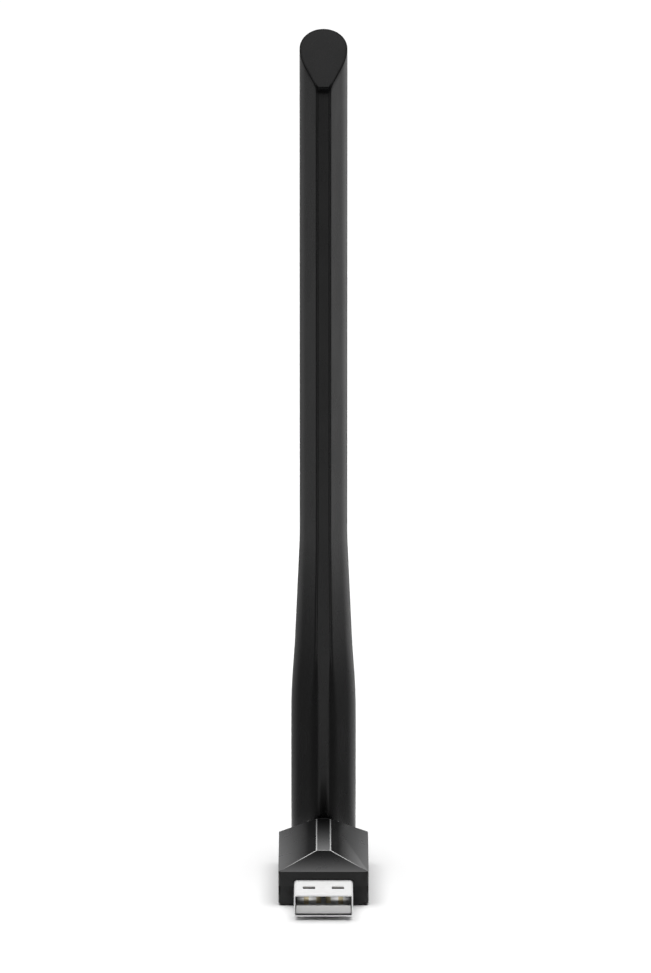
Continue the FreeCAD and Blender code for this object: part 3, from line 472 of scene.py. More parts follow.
def grained(name, colour, speck, gloss, per_mm, depth_mm, stretch=(1.0, 1.0, 1.0)):
    """A dull solid with specks of a second colour: epoxy, ceramic, ferrite, foam or jacket."""
    material, tree, shader, place = new_finish(name)
    specks = noise(tree, stretched(tree, place, stretch), per_mm, 4.0)
    tree.links.new(mixed(tree, spread(tree, specks, 0.0, 1.0, 0.4, 0.72), colour, speck),
                   shader.inputs["Base Color"])
    tree.links.new(spread(tree, noise(tree, place, 0.7), *gloss), shader.inputs["Roughness"])
    bumped(tree, shader, specks, 0.4, depth_mm)
    return material


board_green = lacquered_board("board_green", (0.012, 0.085, 0.035), (0.035, 0.17, 0.07), 0.8)
chip_black = grained("chip_black", (0.012, 0.012, 0.013), (0.035, 0.035, 0.037),
                     (0.45, 0.60), 12.0, 0.006)
choke_grey = grained("choke_grey", (0.085, 0.085, 0.090), (0.15, 0.15, 0.155),
                     (0.5, 0.7), 8.0, 0.012)
capacitor_tan = grained("capacitor_tan", (0.42, 0.27, 0.15), (0.52, 0.36, 0.22),
                        (0.3, 0.45), 9.0, 0.004)
lead_jacket = grained("lead_jacket", (0.045, 0.045, 0.047), (0.075, 0.075, 0.078),
                      (0.35, 0.5), 6.0, 0.008, (1.0, 0.15, 0.15))
foam_grey = grained("foam_grey", (0.11, 0.11, 0.115), (0.03, 0.03, 0.03), (0.85, 0.95), 3.0, 0.12)
plate_grey = grained("plate_grey", (0.50, 0.50, 0.51), (0.44, 0.44, 0.45), (0.35, 0.5), 5.0, 0.004,
                     (0.1, 1.0, 1.0))
print(len(bpy.data.materials), "finishes in all")

# %% [markdown]
# ## Small tools for solid work
#
# Most pieces here are moulded or stamped, so they are made the way a pattern maker works:
# start from a clean block or a turned rod, carve with other solids, then break every sharp
# edge. Blender's own primitives would have to be added, scaled and moved; an outline pushed
# along an axis is one line, takes millimetres, and leaves a plain mesh whose place is in its
# vertices, so nothing has to be moved afterwards.

# %% Prisms and blocks


def piece_from(name, corners, faces):
    """An object from corners in millimetres and faces, with every face turned outwards."""
    mesh = bpy.data.meshes.new(name)
    mesh.from_pydata([Vector(corner) * MM for corner in corners], [], faces)
    skin = bmesh.new()
    skin.from_mesh(mesh)
    bmesh.ops.recalc_face_normals(skin, faces=skin.faces)
    skin.to_mesh(mesh)
    skin.free()
    piece = bpy.data.objects.new(name, mesh)
    bpy.context.scene.collection.objects.link(piece)
    return piece


def prism(name, outline, axis, start, end):
    """A closed outline of (a, b) points, drawn square to an axis and pushed along it."""
    order = {"x": lambda a, b, along: (along, a, b),
             "y": lambda a, b, along: (a, along, b),
             "z": lambda a, b, along: (a, b, along)}[axis]
    count = len(outline)
    corners = [order(a, b, along) for along in (start, end) for a, b in outline]
    sides = [(i, (i + 1) % count, (i + 1) % count + count, i + count) for i in range(count)]
    ends = [tuple(range(count)), tuple(range(count, 2 * count))]
    return piece_from(name, corners, sides + ends)


def block(name, low, high):
    """A box between two corners, to build with or to carve with."""
    outline = [(low[0], low[1]), (high[0], low[1]), (high[0], high[1]), (low[0], high[1])]
    return prism(name, outline, "z", low[2], high[2])


print("solids are drawn in millimetres and kept in metres")

# %% [markdown]
# ## Round things
#
# Rods, washers, holes and rounded corners are all arcs. A moulded corner or a bored hole is
# drawn as short straight runs, fine enough that the eye reads a curve: sixty-four of them
# round a rod, and eight in a quarter-round corner.

# %% Arcs, rods and rounded rectangles
ROD_SIDES = 64


def arc(centre, radius, start_deg, end_deg, steps):
    """Points along an arc, both ends included."""
    angles = [math.radians(start_deg + (end_deg - start_deg) * i / steps)
              for i in range(steps + 1)]
    return [(centre[0] + radius * math.cos(angle), centre[1] + radius * math.sin(angle))
            for angle in angles]


def rod(name, axis, centre, radius, start, end, sides=ROD_SIDES):
    """A round bar along an axis, between two places on it."""
    return prism(name, arc(centre, radius, 0, 360 - 360 / sides, sides - 1), axis, start, end)


def rounded_rectangle(low, high, radius, steps=8):
    """A rectangle with quarter-round corners, as an outline of (a, b) points."""
    (left, bottom), (right, top) = low, high
    return (arc((right - radius, bottom + radius), radius, -90, 0, steps)
            + arc((right - radius, top - radius), radius, 0, 90, steps)
            + arc((left + radius, top - radius), radius, 90, 180, steps)
            + arc((left + radius, bottom + radius), radius, 180, 270, steps))


print("a rod has", ROD_SIDES, "sides")

# %% [markdown]
# ## Carving and joining
#
# Pockets, slots and bores are cut by subtracting one solid from another, as a milling cutter
# does. Blender does that with a Boolean modifier. Its exact solver copes with faces that lie
# on each other, which happens all the time in work like this. The result is taken at once as
# a plain mesh, and the tool is thrown away.

# %% Carve and join solids


def settle(piece):
    """Replaces a piece's mesh by what its modifiers make of it, and clears them."""
    bpy.context.view_layer.update()
    evaluated = piece.evaluated_get(bpy.context.evaluated_depsgraph_get())
    finished = bpy.data.meshes.new_from_object(evaluated)
    piece.modifiers.clear()
    piece.data = finished
    return piece


def combine(piece, tools, operation):
    """Cuts, joins or intersects a piece with a list of tools, which are used up."""
    for tool in tools:
        boolean = piece.modifiers.new("carve", "BOOLEAN")
        boolean.operation = operation
        boolean.solver = "EXACT"
        boolean.object = tool
        settle(piece)
        bpy.data.objects.remove(tool)
    return piece


def carve(piece, *tools):
    return combine(piece, tools, "DIFFERENCE")


def weld(piece, *tools):
    return combine(piece, tools, "UNION")


print("solids can be cut, joined and intersected")

# %% [markdown]
# ## Breaking the edges
#
# No moulded or stamped edge is knife-sharp, and the thin line of light along it is most of
# what makes an object look real. A Bevel modifier rounds each edge by its own weight, so that
# a seam can stay a hairline while an outer corner gets its full width. The booleans leave
# split flats, so those are made whole first. A Weighted Normal modifier then lets the wide
# faces set the shading, or each flat would look pillowed.

# %% Break the edges, and hand a finished piece over
SAME_SPOT = 0.0005
SAME_FLAT_DEG = 0.5


def break_edges(piece, width, over_deg, fine=None, segments=3):
    """Rounds each edge that turns by more than an angle. fine(middle, along) may give a share
    of the width for an edge, from its middle in millimetres and its direction. Faces with a
    second material keep crisp borders. The wide faces then set the shading, so that they
    stay flat right up to their rounded edges."""
    skin = bmesh.new()
    skin.from_mesh(piece.data)
    bmesh.ops.remove_doubles(skin, verts=skin.verts, dist=SAME_SPOT * MM)
    bmesh.ops.dissolve_limit(skin, angle_limit=math.radians(SAME_FLAT_DEG), verts=skin.verts,
                             edges=skin.edges, delimit={"MATERIAL"})
    weight = skin.edges.layers.float.new("bevel_weight_edge")
    for edge in skin.edges:
        turn = math.degrees(edge.calc_face_angle(0.0))
        if len({face.material_index for face in edge.link_faces}) > 1:
            edge.smooth = False
            continue
        if turn < over_deg:
            continue
        share = 1.0
        if fine is not None:
            middle = (edge.verts[0].co + edge.verts[1].co) / 2 / MM
            along = (edge.verts[1].co - edge.verts[0].co).normalized()
            share = fine(middle, along)
        edge[weight] = share
    skin.to_mesh(piece.data)
    skin.free()
    bevel = piece.modifiers.new("edges", "BEVEL")
    bevel.limit_method = "WEIGHT"
    bevel.width = width * MM
    bevel.segments = segments
    bevel.use_clamp_overlap = True
    flats = piece.modifiers.new("flats", "WEIGHTED_NORMAL")
    flats.keep_sharp = True
    for face in piece.data.polygons:
        face.use_smooth = True
    return settle(piece)


def placed(piece, body, slot, material, *stands_for):
    """Gives a finished piece its material and its body, and hides the engineering parts it stands
    for. The slot is not used. A piece that already has its materials keeps them when the
    material is None."""
    if material is not None:
        piece.data.materials.clear()
        piece.data.materials.append(material)
    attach(piece, body)
    if stands_for:
        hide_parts(*stands_for)
    print(f"{piece.name}: {len(piece.data.polygons)} faces on {body}")
    return piece


print("vertices closer than", SAME_SPOT, "mm are merged before a bevel")

# %% [markdown]
# ## The upper shell
#
# The roof is what the eye goes to first: two long slopes and a front slope meet a narrow flat
# ridge, and each meeting edge is a crisp line that catches the light. A roof like this could
# be modelled by pushing a subdivided box about, but it is really a solid with twelve corners, so
# they are written down and the faces follow. The plan of the walls is drawn once, with
# rounded corners at the front, because the lower shell shares it.

# %% Sizes of the case
CASE_HALF = case_high.x
FRONT = case_low.y
REAR = case_high.y
SEAM = roof_low.z
RIDGE = roof_high.z
WALL = 1.2
LIP_OUT = 0.6
CORNER_ROUND = 0.6
EDGE = 0.16
CREST = 0.25
SWIVEL_HOLE = 2.46


def rounded_front(half, front, rear, radius, steps=8):
    """The plan of the case: square at the back, with rounded corners at the front."""
    left = arc((-half + radius, front + radius), radius, 180, 270, steps)
    right = arc((half - radius, front + radius), radius, 270, 360, steps)
    return left + right + [(half, rear), (-half, rear)]


print(f"the case is {2 * CASE_HALF:.1f} mm wide, {REAR - FRONT:.1f} long and {RIDGE:.1f} high")

# %% [markdown]
# ### The slopes, and what is hollow below them
#
# The walls are pushed up past the ridge and then cut down by the solid of the slopes. Inside,
# an attic follows the slopes a millimetre or so below them, and a lower bay makes room over
# the plug. A rebate round the rim takes the lower shell's lip, and two openings let the plug
# and the swivel through.

# %% Build the roof, hollow it and open the plug's mouth
BELOW_EAVES, BELOW_RIDGE = 0.9, 1.3
BAY_CEILING = EAVES - 1.0
LIP_RISE = 0.55
PLUG_GAP = 0.1
MOUTH_ROUND = 0.7
walls = prism("roof_walls", rounded_front(CASE_HALF, FRONT, REAR, CORNER_ROUND), "z", SEAM,
              RIDGE + 1)
slopes = piece_from(
    "roof_slopes",
    [(side * CASE_HALF, y, z) for side in (-1, 1)
     for y, z in ((FRONT, SEAM - 1), (REAR + 1, SEAM - 1), (FRONT, EAVES), (REAR + 1, EAVES))]
    + [(side * RIDGE_HALF, y, RIDGE) for side in (-1, 1) for y in (RIDGE_START, REAR + 1)],
    [(0, 1, 3, 2), (4, 6, 7, 5), (0, 2, 6, 4), (0, 4, 5, 1), (2, 3, 9, 8), (6, 10, 11, 7),
     (2, 8, 10, 6), (8, 9, 11, 10), (1, 5, 7, 11, 9, 3)])
top_shell = combine(walls, [slopes], "INTERSECT")
top_shell.name = "roof"

inner = CASE_HALF - WALL
attic = prism("attic", [(-inner, SEAM - 1), (inner, SEAM - 1), (inner, EAVES - BELOW_EAVES),
                        (RIDGE_HALF, RIDGE - BELOW_RIDGE), (-RIDGE_HALF, RIDGE - BELOW_RIDGE),
                        (-inner, EAVES - BELOW_EAVES)], "y", RIDGE_START, REAR - WALL)
bay = block("bay", (-inner, FRONT + WALL, SEAM - 1), (inner, RIDGE_START + 0.5, BAY_CEILING))
rebate = block("rebate", (-CASE_HALF + LIP_OUT, FRONT + LIP_OUT, SEAM - 1),
               (CASE_HALF - LIP_OUT, REAR - LIP_OUT, SEAM + LIP_RISE))


def plug_opening(name, end):
    """What the plug needs of both shells: a rounded opening from the front wall inwards."""
    half = plug_high.x + PLUG_GAP
    outline = rounded_rectangle((-half, plug_low.z - PLUG_GAP), (half, plug_high.z + PLUG_GAP),
                                MOUTH_ROUND)
    return prism(name, outline, "y", FRONT - 1, end)


def swivel_opening():
    """The round hole in the rear wall that the knuckle turns in."""
    return rod("swivel_hole", "y", (0, swivel.z), SWIVEL_HOLE, REAR - WALL - 0.1, REAR + 1)


carve(top_shell, attic, bay, rebate, plug_opening("mouth", FRONT + WALL + 0.1), swivel_opening())
print("the roof is hollow, with walls", WALL, "mm thick")

# %% [markdown]
# ### The crest's painted highlight and the soft edges
#
# The edges between the slopes are not just rounded. Each is a flat a quarter of a millimetre
# wide, coloured nearly silver as a painted highlight, and that flat is what draws the roof's
# outline. A bevel there would be squeezed by the tiny edges at its ends. So each crest is
# planed: a half-space is subtracted whose face leans halfway between the two slopes, and its new
# faces take the painted highlight. Only then are the other edges broken.

# %% Plane the crests, then break the other edges


def case_edge(middle, along):
    """Seam and inside edges are only just broken, so that the seam stays a hairline."""
    outside = abs(middle.x) > CASE_HALF - 0.05 or middle.y < FRONT + 0.05 or middle.y > REAR - 0.05
    if abs(middle.z - SEAM) < 0.02:
        return 0.45 if outside else 0.0
    if abs(along.z) > 0.9 and middle.y < FRONT + CORNER_ROUND:
        return 0.0
    if outside or middle.z > EAVES:
        return 1.0 if middle.z > EAVES - 0.05 or middle.z < 1.0 else 0.35
    return 0.0


def shave(piece, spot, across, along, fold_deg, width):
    """Planes a flat of a given width on an edge that passes through a spot. Across is the
    direction halfway between its two faces' own. Returns that direction."""
    depth = width / 2 * math.tan(math.radians(fold_deg) / 2)
    up = Vector(across).normalized()
    run = Vector(along).normalized()
    side = up.cross(run)
    base = Vector(spot) - up * depth
    corners = [base + up * lift + run * back + side * aside for lift in (0, 20)
               for back in (-60, 60) for aside in (-60, 60)]
    carve(piece, piece_from("plane", corners, [(0, 1, 3, 2), (4, 5, 7, 6), (0, 1, 5, 4),
                                               (2, 3, 7, 6), (0, 2, 6, 4), (1, 3, 7, 5)]))
    return up


run_out, drop = CASE_HALF - RIDGE_HALF, RIDGE - EAVES
strip_up = Vector((0, 0, 1))
front_up = Vector((0, -drop, RIDGE_START - FRONT)).normalized()
crests = []
for side in (-1, 1):
    apex = (side * RIDGE_HALF, RIDGE_START, RIDGE)
    side_up = Vector((side * drop, 0, run_out)).normalized()
    hip = Vector((side * run_out, FRONT - RIDGE_START, -drop))
    for first, second, way in ((strip_up, side_up, (0, 1, 0)), (front_up, side_up, hip)):
        crests.append((apex, first + second, way, math.degrees(first.angle(second))))
crests.append(((0, RIDGE_START, RIDGE), strip_up + front_up, (1, 0, 0),
               math.degrees(strip_up.angle(front_up))))
# The roof's second material is the crest's painted highlight.
top_shell.data.materials.clear()
for material in (case_black, crest_highlight_paint):
    top_shell.data.materials.append(material)
flats = [shave(top_shell, *crest, CREST) for crest in crests]
for face in top_shell.data.polygons:
    face.material_index = int(any(face.normal.dot(up) > 0.9998 for up in flats))
print(sum(face.material_index for face in top_shell.data.polygons), "faces on the crest")
break_edges(top_shell, EDGE, 15, case_edge)
placed(top_shell, "case", "case_black", None, "top_shell")

# %% [markdown]
# ## The lower shell
#
# The tray is the quiet half: flat underneath so that the adapter lies steady, with a shallow
# bevel up to each side. Inside it carries a lip that finds the upper shell, four posts with
# pegs for the board, and a bed for the plug. Its front corners share the roof's rounding, or
# the seam would show a step.

# %% Build the tray, its lip, posts and pegs
FLAT_HALF = 6.0
FOOT = 0.5
LIP_GAP = 0.05
POST, PEG = 1.0, 0.5
POST_SPREAD = 6.2
POST_INSET = 3
PLATE_HALF = (5.1, 10.1)
PLATE_SUNK = 0.15
PLUG_BED = 7.6
plan = rounded_front(CASE_HALF, FRONT, REAR, CORNER_ROUND)
tray = prism("tray", plan, "z", -1, SEAM)
belly = prism("belly", [(-FLAT_HALF, 0), (FLAT_HALF, 0), (CASE_HALF + 0.01, FOOT),
                        (CASE_HALF + 0.01, SEAM + 1), (-CASE_HALF - 0.01, SEAM + 1),
                        (-CASE_HALF - 0.01, FOOT)], "y", FRONT - 1, REAR + 1)
bottom_shell = combine(tray, [belly], "INTERSECT")
bottom_shell.name = "tray"
lip_inset = LIP_OUT + LIP_GAP
lip = block("lip", (-CASE_HALF + lip_inset, FRONT + lip_inset, SEAM - 0.5),
            (CASE_HALF - lip_inset, REAR - lip_inset, case_high.z))
weld(bottom_shell, lip)
room = block("room", (-inner, FRONT + WALL, WALL), (inner, REAR - WALL, case_high.z + 1))
carve(bottom_shell, room)
for side in (-1, 1):
    for row in (board_low.y + POST_INSET, board_high.y - POST_INSET):
        spot = (side * POST_SPREAD, row)
        weld(bottom_shell, rod("post", "z", spot, POST, WALL - 0.2, board_low.z, 32))
        weld(bottom_shell, rod("peg", "z", spot, PEG, board_low.z - 0.2, board_high.z + 0.3, 32))
plate_recess = prism("plate_recess", rounded_rectangle((-PLATE_HALF[0], -PLATE_HALF[1]),
                                                       PLATE_HALF, 0.6), "z", -1, PLATE_SUNK)
carve(bottom_shell, plug_opening("bed", FRONT + PLUG_BED), plate_recess, swivel_opening())
break_edges(bottom_shell, EDGE, 9.0, case_edge)
placed(bottom_shell, "case", "case_black", case_black, "bottom_shell")

# %% [markdown]
# ## The plug's shell
#
# The shell is a strip of plated steel folded into a tube, so its corners are round inside and
# out and its ends meet in a seam underneath, locked by a dovetail. Two windows above and two
# below let the socket's springs latch. It could be a bevelled box, but drawing the section
# once and pushing it along gives the sheet one thickness everywhere, as folding does.

# %% Fold the sheet, punch the windows and cut the dovetailed seam
SHEET = 0.3
PLUG_ROUND = 0.65
PLUG_REAR = FRONT + 7.4
WINDOW_FRONT = plug_low.y + 5.2
WINDOW_ASIDE, WINDOW_HALF, WINDOW_LONG = 2.95, 1.25, 2.0
SEAM_GAP = 0.06
LEG_LONG, LEG_TALL = 0.2, 1.4
plug = prism("steel_shell", rounded_rectangle((plug_low.x, plug_low.z),
                                              (plug_high.x, plug_high.z), PLUG_ROUND),
             "y", plug_low.y, PLUG_REAR)
hollow = prism("plug_hollow", rounded_rectangle((plug_low.x + SHEET, plug_low.z + SHEET),
                                                (plug_high.x - SHEET, plug_high.z - SHEET),
                                                PLUG_ROUND - SHEET), "y", plug_low.y - 1,
               PLUG_REAR + 1)
windows = [prism("window", rounded_rectangle(
    (middle - WINDOW_HALF, WINDOW_FRONT), (middle + WINDOW_HALF, WINDOW_FRONT + WINDOW_LONG),
    0.25, 4), "z", plug_low.z - 1, plug_high.z + 1) for middle in (-WINDOW_ASIDE, WINDOW_ASIDE)]


def band(points, width):
    """An outline of even width along a line of points, mitred at each turn."""
    sides = ([], [])
    for number, point in enumerate(points):
        here = Vector(point)
        ways = [(Vector(b) - Vector(a)).normalized()
                for a, b in zip(points, points[1:])][max(number - 1, 0):number + 1]
        across = sum((Vector((-way.y, way.x)) for way in ways), Vector((0, 0))).normalized()
        reach = width / 2 / max(across.dot(Vector((-ways[0].y, ways[0].x))), 0.3)
        sides[0].append(tuple(here + across * reach))
        sides[1].append(tuple(here - across * reach))
    return sides[0] + sides[1][::-1]


dovetail = [(0.5, plug_low.y - 1), (0.5, plug_low.y + 3.2), (-0.6, plug_low.y + 2.8),
            (-0.6, plug_low.y + 5.4), (0.5, plug_low.y + 5.0), (0.5, PLUG_REAR + 1)]
seam_cut = prism("seam_cut", band(dovetail, SEAM_GAP), "z", plug_low.z - 0.1,
                 plug_low.z + SHEET + 0.05)
carve(plug, hollow, *windows, seam_cut)
for side in (-1, 1):
    outer = side * (plug_high.x - 0.001)
    leg = block("leg", (min(outer, outer - side * SHEET), PLUG_REAR - LEG_LONG, board_high.z),
                (max(outer, outer - side * SHEET), plug_high.y, board_high.z + LEG_TALL))
    weld(plug, leg)
break_edges(plug, 0.07, 30, segments=2)
placed(plug, "case", "plug_steel", plug_steel, "plug_shell")

# %% [markdown]
# ## The tongue and the block behind it
#
# The tongue is a light plastic bar with four channels for the contacts. Behind it a block
# fills the shell and grips the sheet. They are two mouldings here, light and dark: the dark
# block is painted shade, black because the deep end of a plug's mouth lies in shade and looks
# nearly black. Both get their channels from the same cutters, so that a contact lies straight
# through them.

# %% Mould the tongue
CONTACT_HALF = 0.5
CONTACT_THICK = 0.25
DATA_SETBACK = 1.0
contact_places = [(-3.5, 0.0), (-1.0, DATA_SETBACK), (1.0, DATA_SETBACK), (3.5, 0.0)]
tongue_top = contact_high.z - 0.05
BLOCK_FRONT = FRONT + 1.4
BLOCK_INSET = 0.15
tongue = block("light_tongue", (tongue_low.x, tongue_low.y, plug_low.z + 0.5),
               (tongue_high.x, BLOCK_FRONT, tongue_top))
# The rear block is black as painted shade for the deep end of the plug's mouth.
rear_block = block("dark_rear_block", (tongue_low.x + BLOCK_INSET, BLOCK_FRONT, tongue_low.z),
                   (tongue_high.x - BLOCK_INSET, PLUG_REAR - 0.01, tongue_high.z))
for centre, setback in contact_places:
    for moulding in (tongue, rear_block):
        carve(moulding, block("channel", (centre - CONTACT_HALF, contact_low.y + setback,
                                          contact_low.z),
                              (centre + CONTACT_HALF, PLUG_REAR + 1, contact_high.z)))


def tongue_edge(middle, along):
    """The nose of the tongue is well rounded, and its channels stay sharp."""
    if middle.y < tongue_low.y + 0.02:
        return 1.0
    return 0.25 if abs(middle.x) > tongue_high.x - 0.02 else 0.0


break_edges(tongue, 0.16, 30, tongue_edge)
placed(tongue, "case", "tongue_plastic", tongue_plastic, "plug_insulator")
break_edges(rear_block, 0.05, 30, segments=2)
# The rear block takes the dark joint plastic as painted shade.
placed(rear_block, "case", "tongue_plastic", joint_black)

# %% [markdown]
# ## Starting a node tree
#
# Geometry Nodes write down a rule once and run it many times. Each tree in this lesson starts
# the same way: geometry in, geometry out, and between them inputs with plain names. A modifier
# knows those inputs by identifier, not by name, so the helper hands back the table, and the
# runner fills the inputs in before the object is first evaluated.

# %% Start a tree, and run one


def new_tree(name, inputs):
    """A geometry tree with named inputs: (name, socket type, default). Returns it with the
    output socket of each input and the name-to-identifier table a modifier needs."""
    tree = bpy.data.node_groups.new(name, "GeometryNodeTree")
    tree.interface.new_socket("Geometry", in_out="INPUT", socket_type="NodeSocketGeometry")
    tree.interface.new_socket("Geometry", in_out="OUTPUT", socket_type="NodeSocketGeometry")
    identifiers = {}
    for label, kind, default in inputs:
        socket = tree.interface.new_socket(label, in_out="INPUT", socket_type=kind)
        if default is not None:
            socket.default_value = default
        identifiers[label] = socket.identifier
    group_in = tree.nodes.new("NodeGroupInput")
    group_out = tree.nodes.new("NodeGroupOutput")
    return tree, group_in.outputs, group_out.inputs[0], identifiers


def grown(name, mesh, tree, identifiers, settings):
    """Runs a tree on a mesh with the settings, and returns the plain mesh object it makes."""
    piece = bpy.data.objects.new(name, mesh)
    bpy.context.scene.collection.objects.link(piece)
    modifier = piece.modifiers.new("rule", "NODES")
    modifier.node_group = tree
    for label, value in settings.items():
        modifier[identifiers[label]] = value
    return settle(piece)


print("a tree's result is taken as a plain mesh")

# %% [markdown]
# ## One model on every point
#
# The contacts are four gold-plated springs let into the channels, and four of the same thing
# in a row is what instances are for: one strip is modelled, four points say where, and a tree
# puts the strip on each point. Duplicating the mesh by hand would do for four, but the same
# tree later places dozens of feet and rings on the board. Each point carries its own turn.

# %% A tree that puts one model on every point
row_tree, row_in, row_out, row_inputs = new_tree("one_on_each_point", [
    ("Model", "NodeSocketObject", None),
    ("Finish", "NodeSocketMaterial", None),
])
model_info = row_tree.nodes.new("GeometryNodeObjectInfo")
spots = row_tree.nodes.new("GeometryNodeMeshToPoints")
put = row_tree.nodes.new("GeometryNodeInstanceOnPoints")
turned = row_tree.nodes.new("GeometryNodeInputNamedAttribute")
turned.data_type = "FLOAT_VECTOR"
turned.inputs["Name"].default_value = "turn"
real = row_tree.nodes.new("GeometryNodeRealizeInstances")
painted = row_tree.nodes.new("GeometryNodeSetMaterial")
row_tree.links.new(row_in["Model"], model_info.inputs["Object"])
row_tree.links.new(row_in["Geometry"], spots.inputs["Mesh"])
row_tree.links.new(spots.outputs["Points"], put.inputs["Points"])
row_tree.links.new(model_info.outputs["Geometry"], put.inputs["Instance"])
row_tree.links.new(turned.outputs["Attribute"], put.inputs["Rotation"])
row_tree.links.new(put.outputs["Instances"], real.inputs["Geometry"])
row_tree.links.new(real.outputs["Geometry"], painted.inputs["Geometry"])
row_tree.links.new(row_in["Finish"], painted.inputs["Material"])
row_tree.links.new(painted.outputs["Geometry"], row_out)


def repeated(name, model, material, spots_mm):
    """The model, which is used up, on every spot: (x, y, z) or (x, y, z, turn in degrees)."""
    points = bpy.data.meshes.new(name + "_points")
    points.from_pydata([Vector(spot[:3]) * MM for spot in spots_mm], [], [])
    turns = points.attributes.new("turn", "FLOAT_VECTOR", "POINT")
    for number, spot in enumerate(spots_mm):
        turn = math.radians(spot[3]) if len(spot) > 3 else 0.0
        turns.data[number].vector = (0.0, 0.0, turn)
    piece = grown(name, points, row_tree, row_inputs, {"Model": model, "Finish": material})
    bpy.data.objects.remove(model)
    return piece


print(len(row_tree.nodes), "nodes put one model on every point")

# %% [markdown]
# ## The contacts
#
# A contact is a flat spring with rounded ends. The two outer strips reach a millimetre
# further forward than the inner pair, so that power connects before data does.

# %% Four contacts from one strip
strip_length = contact_high.y - contact_low.y - DATA_SETBACK
strip = prism("contact_strip", rounded_rectangle((-CONTACT_HALF, 0), (CONTACT_HALF, strip_length),
                                                 0.2, 4), "z", -CONTACT_THICK, 0.0)
break_edges(strip, 0.05, 30, segments=2)
contacts = repeated("gold_contacts", strip, contact_gold,
                    [(centre, contact_low.y + setback, contact_high.z)
                     for centre, setback in contact_places])
placed(contacts, "case", "contact_gold", contact_gold, "plug_contacts")

# %% [markdown]
# ## The antenna: one rule for four bodies
#
# The antenna is the piece whose shape follows a rule. Its section is a flat strip in front, a
# groove at each edge of the strip, two flat facets, two soft shoulders and a half ellipse
# behind. Going down, the section widens by the same amount for every millimetre, and near the
# bottom the strip melts into a soft crown. The top is cut on a slant. A stack of hand-made
# rings could do it, but the housing, its cavity, the recess for the lid and the lid itself
# are all that same form with other ends and a thinner wall. So the rule is a node tree, and
# each body is one run of it.

# %% The section, drawn once for the slim blade and again for the wide foot
FACE = sleeve_low.y
BACK = sleeve_high.y
BLADE_HALF = 4.9
FOOT_HALF = sleeve_high.x
STRIP_HALF = 1.225
FOOT_STRIP_HALF = 1.65
FACET_SLOPE = 0.68
FACET_DEPTH = 3.6
SHOULDER_DEPTH = 6.95
GROOVE_WIDTH = 0.20
GROOVE_DEPTH = 0.13
HEART = FACE + 6.0


def bezier(first, handle, last, share):
    """A point on a quadratic curve."""
    rest = 1 - share
    return tuple(rest * rest * a + 2 * rest * share * b + share * share * c
                 for a, b, c in zip(first, handle, last))


def half_section(half, strip_half, wall, softness, groove):
    """The right half of the section, from the middle of the strip round to the middle of the
    back, in millimetres. Softness rounds the strip's edge, and groove sinks it."""
    spread_by = (half - strip_half) / (BLADE_HALF - STRIP_HALF)
    slope = FACET_SLOPE * spread_by
    front, back = FACE + wall, BACK - wall
    wide = half - wall
    strip = strip_half - 0.35 * wall
    depth = FACET_DEPTH - wall
    knee = (strip + slope * depth, front + depth)
    points = [(share * (strip - softness), front) for share in (0.0, 0.35, 0.7, 0.95)]
    for step in range(9):
        share = step / 8
        x, y = bezier((strip - softness, front), (strip, front),
                      (strip + slope * softness, front + softness), share)
        sunk = groove * math.sin(math.pi * share) ** 2
        points.append((x - 0.25 * sunk, y + sunk))
    for step in range(1, 7):
        share = step / 7
        start = (strip + slope * softness, front + softness)
        points.append(tuple(a + (b - a) * share for a, b in zip(start, knee)))
    handle = (wide, front + (wide - strip) / slope)
    widest = (wide, FACE + SHOULDER_DEPTH)
    points += [bezier(knee, handle, widest, step / 12) for step in range(12)]
    behind = back - widest[1]
    angles = [math.radians(90 * step / 18) for step in range(19)]
    points += [(wide * math.cos(angle), widest[1] + behind * math.sin(angle))
               for angle in angles]
    return points


def whole_section(*sizes):
    """Both halves as one loop, seen from above and running anticlockwise."""
    right = half_section(*sizes)
    left = [(-x, y) for x, y in reversed(right[1:-1])]
    return right + left


def section_loop(name, wall, groove):
    """The section as a loop of points that carry the slim, wide and soft forms, the way
    out, and how much the end is rounded there."""
    slim = whole_section(BLADE_HALF, STRIP_HALF, wall, GROOVE_WIDTH, groove)
    wide = whole_section(FOOT_HALF, FOOT_STRIP_HALF, wall, GROOVE_WIDTH, groove)
    soft = whole_section(FOOT_HALF, FOOT_STRIP_HALF, wall, 1.25, 0.0)
    count = len(slim)
    mesh = bpy.data.meshes.new(name)
    mesh.from_pydata([Vector((x, y, 0)) * MM for x, y in slim],
                     [(i, (i + 1) % count) for i in range(count)], [])
    for label, loop in (("slim", slim), ("wide", wide), ("soft", soft)):
        layer = mesh.attributes.new(label, "FLOAT_VECTOR", "POINT")
        for number, (x, y) in enumerate(loop):
            layer.data[number].vector = Vector((x, y, 0)) * MM
    plain = whole_section(BLADE_HALF, STRIP_HALF, wall, GROOVE_WIDTH, 0.0)
    outward = mesh.attributes.new("outward", "FLOAT_VECTOR", "POINT")
    for number, (x, y) in enumerate(plain):
        outward.data[number].vector = Vector((x, y - HEART, 0)).normalized()
    rounding = mesh.attributes.new("rounding", "FLOAT", "POINT")
    for number, (x, y) in enumerate(plain):
        beyond_strip = max(0.0, abs(x) - STRIP_HALF)
        near_front = 1.0 if y < FACE + wall + 1.0 else 0.0
        rounding.data[number].value = 1.0 + 3.0 * near_front * max(0.0, 1 - beyond_strip / 0.7) ** 2
    return mesh


print(len(whole_section(BLADE_HALF, STRIP_HALF, 0.0, GROOVE_WIDTH, GROOVE_DEPTH)),
      "points round the section")

# %% [markdown]
# ### The rule's inputs and its sums
#
# The rule starts from a plain cylinder with as many sides as the section has points, and moves
# every point to its place. That way the ends come closed and the faces are in order. The
# inputs are the heights and slants of both ends, where the flare and the crown begin and end,
# and how far the top edge is rounded.

